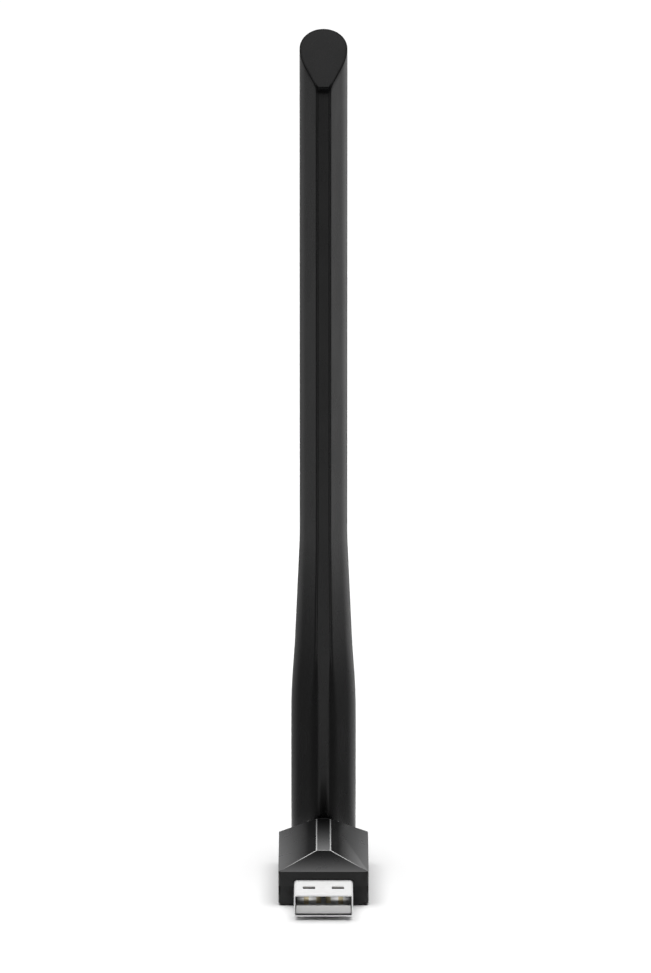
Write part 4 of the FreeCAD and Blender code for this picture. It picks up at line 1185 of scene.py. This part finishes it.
# %% The rule's inputs and the helpers for its sums
blade_tree, blade_in, blade_out, blade_inputs = new_tree("blade_rule", [
    ("Rings", "NodeSocketInt", 150),
    ("Edge rings", "NodeSocketInt", 5),
    ("Edge round", "NodeSocketFloat", 0.0),
    ("Face", "NodeSocketFloat", 0.0),
    ("Low end", "NodeSocketFloat", 0.0),
    ("Low slant", "NodeSocketFloat", 0.0),
    ("High end", "NodeSocketFloat", 0.0),
    ("High slant", "NodeSocketFloat", 0.0),
    ("Flare low", "NodeSocketFloat", 0.0),
    ("Flare high", "NodeSocketFloat", 0.0),
    ("Crown low", "NodeSocketFloat", 0.0),
    ("Crown high", "NodeSocketFloat", 0.0),
    ("Finish", "NodeSocketMaterial", None),
])


def wired(tree, node, values):
    """Fills a node's inputs with numbers or links, in order. None leaves an input alone."""
    for socket, value in zip(node.inputs, values):
        if value is None:
            continue
        if isinstance(value, bpy.types.NodeSocket):
            tree.links.new(value, socket)
        else:
            socket.default_value = value
    return node.outputs[0]


def maths(operation, *values):
    node = blade_tree.nodes.new("ShaderNodeMath")
    node.operation = operation
    return wired(blade_tree, node, values)


def vectors(operation, *values):
    node = blade_tree.nodes.new("ShaderNodeVectorMath")
    node.operation = operation
    return wired(blade_tree, node, values)


def between(first, second, share):
    """A vector on the way from the first to the second."""
    step = blade_tree.nodes.new("ShaderNodeVectorMath")
    step.operation = "SCALE"
    blade_tree.links.new(vectors("SUBTRACT", second, first), step.inputs["Vector"])
    blade_tree.links.new(share, step.inputs["Scale"])
    return vectors("ADD", first, step.outputs[0])


def upright(height):
    node = blade_tree.nodes.new("ShaderNodeCombineXYZ")
    blade_tree.links.new(height, node.inputs["Z"])
    return node.outputs[0]


print(len(blade_inputs), "inputs steer the blade's rule")

# %% [markdown]
# ### Which point of the section each point is
#
# A cylinder's points are numbered round and round, so the rest of a division by the section's
# number of points says which column a point is in. The section's mesh carries its slim, wide
# and soft forms, the way out and the share of rounding, and each column reads its own.

# %% Read what the section carries
loop_size = blade_tree.nodes.new("GeometryNodeAttributeDomainSize")
blade_tree.links.new(blade_in["Geometry"], loop_size.inputs["Geometry"])
loop_count = loop_size.outputs["Point Count"]
drum = blade_tree.nodes.new("GeometryNodeMeshCylinder")
drum.fill_type = "NGON"
drum.inputs["Depth"].default_value = 1.0
blade_tree.links.new(loop_count, drum.inputs["Vertices"])
blade_tree.links.new(blade_in["Rings"], drum.inputs["Side Segments"])
index = blade_tree.nodes.new("GeometryNodeInputIndex").outputs[0]
column = maths("FLOORED_MODULO", index, loop_count)


def carried(label, kind):
    """What the section's point of this column carries under a name."""
    read = blade_tree.nodes.new("GeometryNodeInputNamedAttribute")
    read.data_type = kind
    read.inputs["Name"].default_value = label
    sample = blade_tree.nodes.new("GeometryNodeSampleIndex")
    sample.data_type = kind
    sample.domain = "POINT"
    blade_tree.links.new(blade_in["Geometry"], sample.inputs["Geometry"])
    blade_tree.links.new(read.outputs["Attribute"], sample.inputs["Value"])
    blade_tree.links.new(column, sample.inputs["Index"])
    return sample.outputs["Value"]


slim, wide, soft = (carried(label, "FLOAT_VECTOR") for label in ("slim", "wide", "soft"))
outward = carried("outward", "FLOAT_VECTOR")
rounding = maths("MULTIPLY", carried("rounding", "FLOAT"), blade_in["Edge round"])
print(len(blade_tree.nodes), "nodes so far")

# %% [markdown]
# ### How high each point sits
#
# The cylinder's height becomes a ring number. The first rings share out the wall between the
# two ends, either of which may slant, and the last few are kept for rounding the top edge.

# %% The height of each ring
position = blade_tree.nodes.new("GeometryNodeInputPosition").outputs[0]
split = blade_tree.nodes.new("ShaderNodeSeparateXYZ")
blade_tree.links.new(position, split.inputs[0])
ring = maths("MULTIPLY", maths("ADD", split.outputs["Z"], 0.5), blade_in["Rings"])
plain_rings = maths("SUBTRACT", blade_in["Rings"], blade_in["Edge rings"])
up = maths("MINIMUM", maths("DIVIDE", ring, plain_rings), 1.0)
over = maths("MAXIMUM", maths("DIVIDE", maths("SUBTRACT", ring, plain_rings),
                              blade_in["Edge rings"]), 0.0)

slim_split = blade_tree.nodes.new("ShaderNodeSeparateXYZ")
blade_tree.links.new(slim, slim_split.inputs[0])
back_by = maths("SUBTRACT", slim_split.outputs["Y"], blade_in["Face"])
low = maths("ADD", blade_in["Low end"], maths("MULTIPLY", blade_in["Low slant"], back_by))
high = maths("ADD", blade_in["High end"], maths("MULTIPLY", blade_in["High slant"], back_by))
wall_top = maths("SUBTRACT", high, rounding)
height = maths("ADD", low, maths("MULTIPLY", maths("SUBTRACT", wall_top, low), up))
print(len(blade_tree.nodes), "nodes so far")

# %% [markdown]
# ### Flare, crown and rounded top
#
# Below one height the section widens evenly until it is the foot's, with both kinks softened.
# Near the bottom the strip melts into a soft crown. The top edge turns from the wall to the
# lid as a blend of two blends, which is what a curve with one handle is.

# %% Blend the sections and round the top
flare_run = maths("SUBTRACT", blade_in["Flare high"], blade_in["Flare low"])
flare_raw = maths("DIVIDE", maths("SUBTRACT", blade_in["Flare high"], height), flare_run)
KINK_SOFTNESS = 0.06
flare = maths("SMOOTH_MIN", maths("SMOOTH_MAX", flare_raw, 0.0, KINK_SOFTNESS), 1.0,
              KINK_SOFTNESS)
crown_map = blade_tree.nodes.new("ShaderNodeMapRange")
crown_map.interpolation_type = "SMOOTHSTEP"
blade_tree.links.new(height, crown_map.inputs["Value"])
blade_tree.links.new(blade_in["Crown high"], crown_map.inputs["From Min"])
blade_tree.links.new(blade_in["Crown low"], crown_map.inputs["From Max"])
crown = crown_map.outputs["Result"]

on_section = between(between(slim, wide, flare), soft, crown)
wall_point = vectors("ADD", on_section, upright(height))
corner_point = vectors("ADD", wall_point, upright(rounding))
inward = vectors("MULTIPLY", outward, (-1.0, -1.0, 0.0))
inward_step = blade_tree.nodes.new("ShaderNodeVectorMath")
inward_step.operation = "SCALE"
blade_tree.links.new(inward, inward_step.inputs["Vector"])
blade_tree.links.new(rounding, inward_step.inputs["Scale"])
step_split = blade_tree.nodes.new("ShaderNodeSeparateXYZ")
blade_tree.links.new(inward_step.outputs[0], step_split.inputs[0])
climb = maths("MULTIPLY", blade_in["High slant"], step_split.outputs["Y"])
lid_point = vectors("ADD", vectors("ADD", corner_point, inward_step.outputs[0]), upright(climb))
rounded = between(between(wall_point, corner_point, over),
                  between(corner_point, lid_point, over), over)

shaped = blade_tree.nodes.new("GeometryNodeSetPosition")
blade_tree.links.new(drum.outputs["Mesh"], shaped.inputs["Geometry"])
blade_tree.links.new(rounded, shaped.inputs["Position"])
blade_real = blade_tree.nodes.new("GeometryNodeRealizeInstances")
blade_painted = blade_tree.nodes.new("GeometryNodeSetMaterial")
blade_tree.links.new(shaped.outputs["Geometry"], blade_real.inputs["Geometry"])
blade_tree.links.new(blade_real.outputs["Geometry"], blade_painted.inputs["Geometry"])
blade_tree.links.new(blade_in["Finish"], blade_painted.inputs["Material"])
blade_tree.links.new(blade_painted.outputs["Geometry"], blade_out)
print(len(blade_tree.nodes), "nodes in the blade's rule")

# %% [markdown]
# ### Four bodies from one rule
#
# The housing is the rule with no wall taken off. The cavity is the same form a wall's
# thickness inside, the room for the lid leaves a thin rim, and the lid fills that room with a
# hair's gap all round.

# %% Run the rule: housing, cavity, lid recess and lid
CUT_RISE = 10.8
CUT_FRONT = sleeve_high.z - CUT_RISE
CUT_SLANT = CUT_RISE / (BACK - FACE)
CUT_ANGLE = math.atan(CUT_SLANT)
LID_THICK = 1.2
LID_DROP = LID_THICK / math.cos(CUT_ANGLE)
FLARE_LOW = 29.0
FLARE_HIGH = 67.5
RIM_WALL = 0.30
LID_GAP = 0.015


def blade_body(name, wall, low_end, high_end, low_slant=0.0, high_slant=CUT_SLANT, rings=150,
               edge_round=0.0, groove=0.0):
    """One run of the rule, with heights in millimetres at the antenna's face."""
    loop = section_loop(name + "_section", wall, groove)
    settings = {"Rings": rings, "Edge rings": 5 if edge_round else 1,
                "Edge round": edge_round * MM, "Face": FACE * MM,
                "Low end": low_end * MM, "Low slant": low_slant,
                "High end": high_end * MM, "High slant": high_slant,
                "Flare low": FLARE_LOW * MM, "Flare high": FLARE_HIGH * MM,
                "Crown low": 28.0 * MM, "Crown high": 46.0 * MM, "Finish": antenna_black}
    return grown(name, loop, blade_tree, blade_inputs, settings)


sleeve = blade_body("blade_housing", 0.0, sleeve_low.z, CUT_FRONT, edge_round=0.26,
                    groove=GROOVE_DEPTH)
cavity = blade_body("blade_cavity", 1.0, 16.0, CUT_FRONT + 4, rings=60)
lid_room = blade_body("lid_room", RIM_WALL, CUT_FRONT - LID_DROP, CUT_FRONT + 4,
                      low_slant=CUT_SLANT, rings=4)
lid = blade_body("blade_lid", RIM_WALL + LID_GAP, CUT_FRONT - LID_DROP, CUT_FRONT,
                 low_slant=CUT_SLANT, rings=10, edge_round=0.05)
print(f"the top is cut {math.degrees(CUT_ANGLE):.0f} degrees from level")

# %% [markdown]
# ## The fork at the foot
#
# The lower end straddles the knuckle: a slot makes two ears, each drilled for a hinge pin,
# and the outside is turned to a round heel so that the antenna can swing down without
# striking the case. A small hole lets the lead pass up into the cavity. All of this is
# machining, so it is carved.

# %% Carve the heel, the slot and the holes
HEEL = 5.0
SLOT_HALF = 3.2
SLOT_TOP = hinge.z + 3.3
PIN = 1.5
heel_outline = ([(FACE - 1, hinge.z), (hinge.y - HEEL, hinge.z)]
                + arc((hinge.y, hinge.z), HEEL, 180, 360, 48)
                + [(BACK + 1, hinge.z), (BACK + 1, -2), (FACE - 1, -2)])
heel_waste = prism("heel_waste", heel_outline, "x", -8, 8)
slot = block("fork_slot", (-SLOT_HALF, FACE - 1, -2), (SLOT_HALF, BACK + 1, SLOT_TOP))
pin_hole = rod("pin_hole", "x", (hinge.y, hinge.z), PIN, -4.6, 4.6, 48)
lead_hole = rod("lead_hole", "z", (0, hinge.y), 0.985, hinge.z, 17.0, 48)
carve(sleeve, cavity, lid_room, heel_waste, slot, pin_hole, lead_hole)


def smooth_shaded(piece, over_deg):
    """Smooth shading that still breaks at the true edges."""
    skin = bmesh.new()
    skin.from_mesh(piece.data)
    bmesh.ops.remove_doubles(skin, verts=skin.verts, dist=SAME_SPOT * MM)
    for edge in skin.edges:
        edge.smooth = math.degrees(edge.calc_face_angle(0.0)) < over_deg
    for face in skin.faces:
        face.smooth = True
    skin.to_mesh(piece.data)
    skin.free()
    return piece


smooth_shaded(sleeve, 32)
placed(sleeve, "antenna", "antenna_black", antenna_black, "antenna_sleeve")
smooth_shaded(lid, 32)
placed(lid, "antenna", "cap_black", cap_black, "tip_cap")

# %% [markdown]
# ## The knuckle
#
# The knuckle is what turns in the case's rear wall and what the fork closes round. It is
# turned and milled: a hollow stub, a collar against the wall, and a round lug across. The
# lead runs through it and bends up through a slot in the lug.

# %% Turn the stub and the collar, add the lug, bore and slot it
knuckle_low, _ = corners_mm("swivel_knuckle")
STUB = 2.4
COLLAR = 4.6
COLLAR_FRONT = REAR + 0.1
COLLAR_BACK = COLLAR_FRONT + 1.1
LUG = 3.1
LUG_HALF = 3.0
axis_spot = (0, swivel.z)
knuckle = rod("hinge_knuckle", "y", axis_spot, COLLAR, COLLAR_FRONT, COLLAR_BACK, 96)
neck = block("neck", (-LUG_HALF, COLLAR_BACK - 0.5, swivel.z - LUG),
             (LUG_HALF, hinge.y, swivel.z + LUG))
combine(neck, [rod("neck_round", "y", axis_spot, COLLAR - 0.02, COLLAR_FRONT, hinge.y + 5, 96)],
        "INTERSECT")
weld(knuckle, neck, rod("lug", "x", (hinge.y, hinge.z), LUG, -LUG_HALF, LUG_HALF, 96),
     rod("stub", "y", axis_spot, STUB, knuckle_low.y, COLLAR_FRONT + 0.3))
ring_groove = prism("ring_groove", arc(axis_spot, STUB + 1, 0, 360 - 7.5, 47), "y",
                    knuckle_low.y + 0.2, knuckle_low.y + 0.9)
carve(ring_groove, rod("groove_core", "y", axis_spot, 1.9, knuckle_low.y, knuckle_low.y + 2, 48))
carve(knuckle, ring_groove, rod("bore", "y", axis_spot, 1.2, knuckle_low.y - 1, hinge.y - 1, 48),
      block("lead_slot", (-1.1, hinge.y - 2.7, hinge.z - 1.1), (1.1, hinge.y + 6, hinge.z + 6)),
      rod("pin_bore", "x", (hinge.y, hinge.z), PIN + 0.06, -4, 4, 48))
break_edges(knuckle, 0.14, 35)
placed(knuckle, "knuckle", "joint_black", joint_black, "swivel_knuckle")

# %% [markdown]
# ## The lead
#
# One lead runs from the board to the radiator, in three stretches. The first stretch stays
# with the case and the last with the antenna; the one between, which bends through the hinge,
# is a plain tube left on no body. A tube swept along straight runs and arcs has the right
# section all the way.

# %% Sweep a tube along runs and arcs
LEAD = lead_high.x


def rounded_route(points, radii, steps=14):
    """The points of a route in the plane x = 0, with an arc at each inner corner."""
    route = [Vector((0, *points[0]))]
    for before, corner, after, radius in zip(points, points[1:], points[2:], radii):
        here = Vector((0, *corner))
        back_way = (Vector((0, *before)) - here).normalized()
        onward = (Vector((0, *after)) - here).normalized()
        half_turn = (math.pi - back_way.angle(onward)) / 2
        reach = radius * math.tan(half_turn)
        centre = here + (back_way + onward).normalized() * (radius / math.cos(half_turn))
        start_arm = here + back_way * reach - centre
        for step in range(steps + 1):
            turned_by = 2 * half_turn * step / steps
            route.append(centre + start_arm * math.cos(turned_by)
                         - back_way * radius * math.sin(turned_by))
    route.append(Vector((0, *points[-1])))
    return route


def lead_tube(name, route, sides=24):
    """A closed round tube that follows the route, all of it in the plane x = 0."""
    corners = []
    for number, spot in enumerate(route):
        nearby = route[max(number - 1, 0)], route[min(number + 1, len(route) - 1)]
        along = (nearby[1] - nearby[0]).normalized()
        aside = Vector((1, 0, 0))
        upward = aside.cross(along)
        for side in range(sides):
            angle = 2 * math.pi * side / sides
            corners.append(spot + LEAD * (math.cos(angle) * aside + math.sin(angle) * upward))
    rings = len(route)
    faces = [(ring_no * sides + side, ring_no * sides + (side + 1) % sides,
              (ring_no + 1) * sides + (side + 1) % sides, (ring_no + 1) * sides + side)
             for ring_no in range(rings - 1) for side in range(sides)]
    faces += [tuple(range(sides)), tuple(range((rings - 1) * sides, rings * sides))]
    return smooth_shaded(piece_from(name, corners, faces), 40)


board_lead_low, _ = corners_mm("board_coax")
inner_lead_low, inner_lead_high = corners_mm("antenna_coax")
LOW_RUN = board_lead_low.z + LEAD
BEND_RUN = 2.6
TWIST_GAP = 0.03
rise_angle = math.atan2(swivel.z - LOW_RUN, lead_low.y - board_lead_low.y - 2 * BEND_RUN)
bend_radius = 0.45 * BEND_RUN / math.tan(rise_angle / 2)
board_lead = lead_tube("lead_in_case", rounded_route(
    [(board_lead_low.y, LOW_RUN), (board_lead_low.y + BEND_RUN, LOW_RUN),
     (lead_low.y - BEND_RUN, swivel.z), (lead_low.y - TWIST_GAP, swivel.z)],
    [bend_radius, bend_radius]))
placed(board_lead, "case", "lead_jacket", lead_jacket, "board_coax")
inner_lead = lead_tube("lead_in_antenna", [Vector((0, hinge.y, inner_lead_low.z)),
                                           Vector((0, hinge.y, inner_lead_high.z))])
placed(inner_lead, "antenna", "lead_jacket", lead_jacket, "antenna_coax")
HINGE_BEND = 3.3
bending_lead = lead_tube("lead_through_hinge", rounded_route(
    [(lead_low.y, hinge.z), (hinge.y, hinge.z), (hinge.y, lead_high.z)], [HINGE_BEND], 24))
bending_lead.data.materials.append(lead_jacket)
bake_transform(bending_lead)
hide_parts("hinge_coax")
print("the lead bends on", HINGE_BEND, "mm")

# %% [markdown]
# ## Parts that only need their edges broken
#
# Chips, cans, rings, pins and boards are already right in the engineering model, except that
# its edges are knife-sharp and no made thing's are. Their copies get their loose triangles
# merged, their flats made whole again and their edges broken, each by its own small width.

# %% Copy a piece and break its edges


def eased(node, name, width, body, slot, material, over_deg=30, segments=2):
    """A copy of an engineering piece with broken edges, standing for the original."""
    piece = bpy.data.objects.new(name, frame["nodes"][node].data.copy())
    bpy.context.scene.collection.objects.link(piece)
    for layer in ("custom_normal",):
        if layer in piece.data.attributes:
            piece.data.attributes.remove(piece.data.attributes[layer])
    break_edges(piece, width, over_deg, segments=segments)
    return placed(piece, body, slot, material, node)


eased("rating_plate", "blank_plate", 0.03, "case", "plate_grey", plate_grey)
eased("main_board", "circuit_board", 0.04, "case", "board_green", board_green)
eased("shield_can", "radio_can", 0.05, "case", "can_steel", can_steel)
eased("wifi_chip", "radio_chip", 0.08, "case", "chip_black", chip_black)
eased("crystal", "crystal_can", 0.18, "case", "can_steel", can_steel, segments=3)
eased("power_inductor", "choke", 0.20, "case", "choke_grey", choke_grey, segments=3)
eased("voltage_regulator", "regulator", 0.10, "case", "chip_black", chip_black)
eased("coax_clip", "lead_clip", 0.06, "case", "contact_gold", contact_gold)
eased("retaining_ring", "snap_ring", 0.06, "knuckle", "spring_steel", spring_steel)
eased("swivel_washer", "wall_washer", 0.04, "knuckle", "spring_steel", spring_steel)
eased("hinge_washers", "hinge_washer_pair", 0.03, "knuckle", "spring_steel", spring_steel)
eased("hinge_pins", "hinge_pin_pair", 0.15, "antenna", "spring_steel", spring_steel)
eased("antenna_board", "radiator_board", 0.04, "antenna", "board_green", board_green)
eased("radiator_traces", "radiator_arms", 0.02, "antenna", "copper", copper)
eased("feed_ferrule", "feed_collar", 0.04, "antenna", "contact_gold", contact_gold)
eased("foam_pads", "foam_blocks", 0.25, "antenna", "foam_grey", foam_grey, segments=3)

# %% [markdown]
# ## Capacitors, leads and joints on the board
#
# A board is full of things that repeat. Every capacitor is a tan ceramic chip between two
# tinned ends, every leg of the radio chip is a small tinned foot, and the holes that join
# the board's two sides are rings of tin. Each is modelled once and placed by the same tree
# that placed the contacts.

# %% Place the capacitors, the chip's feet and the rings of the board's holes
BOARD_TOP = board_high.z
CAP_LENGTH, CAP_WIDTH, CAP_TALL = 1.0, 0.5, 0.5
capacitor_spots = ([(-1.6 + 1.0 * number, -5.4, BOARD_TOP, 90) for number in range(4)]
                   + [(4.2, 1.2 + 1.2 * number, BOARD_TOP, 0) for number in range(4)])
ceramic = block("ceramic", (-0.29, -CAP_WIDTH / 2 + 0.02, 0.02),
                (0.29, CAP_WIDTH / 2 - 0.02, CAP_TALL - 0.02))
break_edges(ceramic, 0.03, 30, segments=1)
ceramics = repeated("capacitor_bodies", ceramic, capacitor_tan, capacitor_spots)
placed(ceramics, "case", "capacitor_tan", capacitor_tan, "chip_capacitors")
end_cap = block("tinned_end", (0.28, -CAP_WIDTH / 2, 0.0), (CAP_LENGTH / 2, CAP_WIDTH / 2, CAP_TALL))
break_edges(end_cap, 0.06, 30, segments=2)
end_spots = [(x, y, z, turn + half) for x, y, z, turn in capacitor_spots for half in (0, 180)]
placed(repeated("capacitor_ends", end_cap, tinned, end_spots), "case", "can_steel", tinned)

chip_low, chip_high = corners_mm("wifi_chip")
foot = block("chip_foot", (-0.15, -0.11, 0.0), (0.16, 0.11, 0.12))
break_edges(foot, 0.03, 30, segments=1)
middle = (chip_low + chip_high) / 2
FEET = 12
FOOT_PITCH = 0.5
foot_spots = []
for turn in (0, 90, 180, 270):
    way = Vector((math.cos(math.radians(turn)), math.sin(math.radians(turn)), 0))
    aside = Vector((-way.y, way.x, 0))
    reach = (chip_high.x - chip_low.x) / 2
    for number in range(FEET):
        spot = middle + way * reach + aside * (number - (FEET - 1) / 2) * FOOT_PITCH
        foot_spots.append((spot.x, spot.y, BOARD_TOP, turn))
placed(repeated("chip_feet", foot, tinned, foot_spots), "case", "can_steel", tinned)

eyelet = rod("eyelet", "z", (0, 0), 0.24, 0.0, 0.03, 16)
carve(eyelet, rod("eyelet_hole", "z", (0, 0), 0.12, -1, 1, 16))
eyelet_spots = [(side * 6.9, board_low.y + 5.0 + 1.1 * number, BOARD_TOP)
                for side in (-1, 1) for number in range(11)]
placed(repeated("board_eyelets", eyelet, tinned, eyelet_spots), "case", "can_steel", tinned)

# %% [markdown]
# ## The stage and its floor
#
# Black plastic has hardly any colour of its own: what shows is what it mirrors. So two things
# are set apart. A soft panel lights the floor and the piece, and cards, which only mirrors can
# see, decide what each facet shows. The floor comes first. It is matt and pale, so that it
# takes a soft shadow and mirrors nothing.

# %% The floor
FLOOR_HALF = 9.0
floor_mesh = bpy.data.meshes.new("floor")
floor_mesh.from_pydata([(-FLOOR_HALF, -FLOOR_HALF, 0), (FLOOR_HALF, -FLOOR_HALF, 0),
                        (FLOOR_HALF, FLOOR_HALF, 0), (-FLOOR_HALF, FLOOR_HALF, 0)],
                       [], [(0, 1, 2, 3)])
floor = bpy.data.objects.new("floor", floor_mesh)
bpy.context.scene.collection.objects.link(floor)
white, _, white_shader, _ = new_finish("floor_white")
white_shader.inputs["Base Color"].default_value = (0.86, 0.86, 0.86, 1)
white_shader.inputs["Roughness"].default_value = 0.9
white_shader.inputs["Specular IOR Level"].default_value = 0.1
floor_mesh.materials.append(white)
print("the floor is", 2 * FLOOR_HALF, "metres square")

# %% [markdown]
# ## The sky
#
# Whatever isn't a card is mirrored too, so the sky is no flat white. It is bright only high
# overhead, dim low down, so that the antenna's outline stays black, and darkest behind the
# camera, where the flat strip looks.

# %% The sky: brighter overhead, dim low down, dark behind the camera
scene = bpy.context.scene
world = bpy.data.worlds.new("studio")
scene.world = world
world.use_nodes = True
world_tree = world.node_tree
world_tree.nodes.clear()
sky_out = world_tree.nodes.new("ShaderNodeOutputWorld")
sky = world_tree.nodes.new("ShaderNodeBackground")
sky_place = world_tree.nodes.new("ShaderNodeTexCoord")
sky_split = world_tree.nodes.new("ShaderNodeSeparateXYZ")
world_tree.links.new(sky_place.outputs["Generated"], sky_split.inputs[0])


def sky_ramp(way, start, end, low, high):
    ramp = world_tree.nodes.new("ShaderNodeMapRange")
    ramp.interpolation_type = "SMOOTHSTEP"
    for label, value in (("From Min", start), ("From Max", end), ("To Min", low), ("To Max", high)):
        ramp.inputs[label].default_value = value
    world_tree.links.new(sky_split.outputs[way], ramp.inputs["Value"])
    return ramp.outputs["Result"]


sky_strength = world_tree.nodes.new("ShaderNodeMath")
sky_strength.operation = "MULTIPLY"
world_tree.links.new(sky_ramp("Z", 0.80, 0.95, 0.07, 1.15), sky_strength.inputs[0])
world_tree.links.new(sky_ramp("Y", -0.85, -0.35, 0.05, 1.0), sky_strength.inputs[1])
world_tree.links.new(sky_strength.outputs[0], sky.inputs["Strength"])
sky.inputs["Color"].default_value = (1, 1, 1, 1)
world_tree.links.new(sky.outputs["Background"], sky_out.inputs["Surface"])

print(len(world_tree.nodes), "nodes in the sky")

# %% [markdown]
# ## The soft panel
#
# One wide panel overhead gives the floor an even white and the plug its pale top. A sun or a
# small lamp would draw a hard shadow. The panel is hidden from the camera and from mirrors,
# because the cards alone should decide the reflections.

# %% The soft panel that lights the floor and the piece


def soft_panel(name, spot, aim, width, height, watts):
    """A rectangular softbox, placed in metres and turned to face a point. Mirrors and the
    camera don't see it."""
    lamp = bpy.data.lights.new(name, "AREA")
    lamp.shape = "RECTANGLE"
    lamp.size = width
    lamp.size_y = height
    lamp.energy = watts
    panel = bpy.data.objects.new(name, lamp)
    bpy.context.scene.collection.objects.link(panel)
    panel.location = spot
    panel.rotation_euler = (Vector(aim) - Vector(spot)).to_track_quat("-Z", "Y").to_euler()
    panel.visible_camera = False
    panel.visible_glossy = False
    return panel


overhead = soft_panel("overhead", (0.0, 0.4, 1.5), (0, 0.4, 0), 2.0, 2.2, 38)
print(overhead.name, "panel:", overhead.data.energy, "watts")

# %% [markdown]
# ## The cards
#
# Each facet of the antenna mirrors one direction, so each gets its own card there. Pale cards
# stand beside and behind the antenna, stronger on the right, and draw its facets. Others lie
# on the floor, where the flared foot looks. Dark cards, standing and lying, keep the rims and
# the outline black. Angles run from straight ahead, and both sides get the same set.


# %% The cards that only mirrors see


def card(name, corners, glow):
    """A flat card with its corners in metres, seen only in reflections. Glow is how bright."""
    mesh = bpy.data.meshes.new(name)
    mesh.from_pydata(corners, [], [tuple(range(len(corners)))])
    sheet = bpy.data.objects.new(name, mesh)
    bpy.context.scene.collection.objects.link(sheet)
    paper = bpy.data.materials.new(name)
    paper.use_nodes = True
    paper.node_tree.nodes.clear()
    shine = paper.node_tree.nodes.new("ShaderNodeEmission")
    shine.inputs["Strength"].default_value = glow
    paper_out = paper.node_tree.nodes.new("ShaderNodeOutputMaterial")
    paper.node_tree.links.new(shine.outputs[0], paper_out.inputs["Surface"])
    mesh.materials.append(paper)
    sheet.visible_camera = False
    sheet.visible_diffuse = False
    sheet.visible_shadow = False
    sheet.visible_transmission = False
    return sheet


def standing(name, start, end, height, glow):
    """A card that stands on the floor between two (x, y) spots."""
    (x0, y0), (x1, y1) = start, end
    return card(name, [(x0, y0, 0.001), (x1, y1, 0.001), (x1, y1, height), (x0, y0, height)],
                glow)


def toward(azimuth_deg, away):
    """A spot on the floor that far from the antenna, at an angle from straight ahead."""
    angle = math.radians(azimuth_deg)
    return away * math.sin(angle), hinge.y * MM - away * math.cos(angle)


def lying(name, start_deg, end_deg, glow, near=0.03, away=0.30):
    """A card that lies on the floor between two angles, from near the antenna outwards."""
    steps = 6
    angles = [start_deg + (end_deg - start_deg) * step / steps for step in range(steps + 1)]
    outline = [toward(angle, near) for angle in angles] + [toward(angle, away)
                                                           for angle in reversed(angles)]
    return card(name, [(x, y, 0.001) for x, y in outline], glow)


CARD_AWAY = 0.30
DARK_STANDING, DARK_LYING = 0.12, 0.26
FLOOR_CARDS = ((0.6, 97, 106), (1.0, 106, 120), (1.1, 120, 152))
for side, name, glow, rear_share in ((1, "right", 1.25, 0.85), (-1, "left", 0.62, 0.62)):
    for share, start, end in ((1.1, 107, 132), (rear_share, 132, 150)):
        standing(f"{name}_bright_{start}", toward(side * start, CARD_AWAY),
                 toward(side * end, CARD_AWAY), CARD_AWAY, glow * share)
    for share, start, end in FLOOR_CARDS:
        lying(f"{name}_floor_{start}", side * start, side * end, glow * share)
    standing(name + "_dark", toward(side * 28, CARD_AWAY), toward(side * 105, CARD_AWAY),
             CARD_AWAY, DARK_STANDING)
    lying(name + "_dark_floor", side * 30, side * 97, DARK_LYING)
card("floor_dark_behind", [(-0.16, 0.06, 0.001), (0.16, 0.06, 0.001), (0.6, 1.6, 0.001),
                           (-0.6, 1.6, 0.001)], 0.12)

print("cards stand and lie up to", CARD_AWAY, "metres from the antenna")

# %% [markdown]
# ## The camera
#
# A long lens from a good distance keeps the tall antenna's sides parallel. The camera looks
# down by about thirteen degrees, enough to show the roof of the case and the top of the plug,
# and aims halfway up, so that the tip and the plug both fit.

# %% The camera
VIEW_DOWN = math.radians(12.64)
VIEW_AWAY = 2.5
AIM = Vector((0.41, 0.0, 83.81)) * MM
camera_data = bpy.data.cameras.new("camera")
camera = bpy.data.objects.new("camera", camera_data)
scene.collection.objects.link(camera)
camera_data.lens = 453.8
camera_data.sensor_width = 36.0
camera_data.clip_start = 0.1
camera_data.clip_end = 100.0
camera.location = AIM + VIEW_AWAY * Vector((0, -math.cos(VIEW_DOWN), math.sin(VIEW_DOWN)))
camera.rotation_euler = (math.pi / 2 - VIEW_DOWN, 0, 0)
scene.camera = camera
scene.view_settings.view_transform = "Standard"
scene.view_settings.look = "None"
print("camera at", [round(value, 3) for value in camera.location])

# %% [markdown]
# ## Finish

# %% Finish
print("finished")
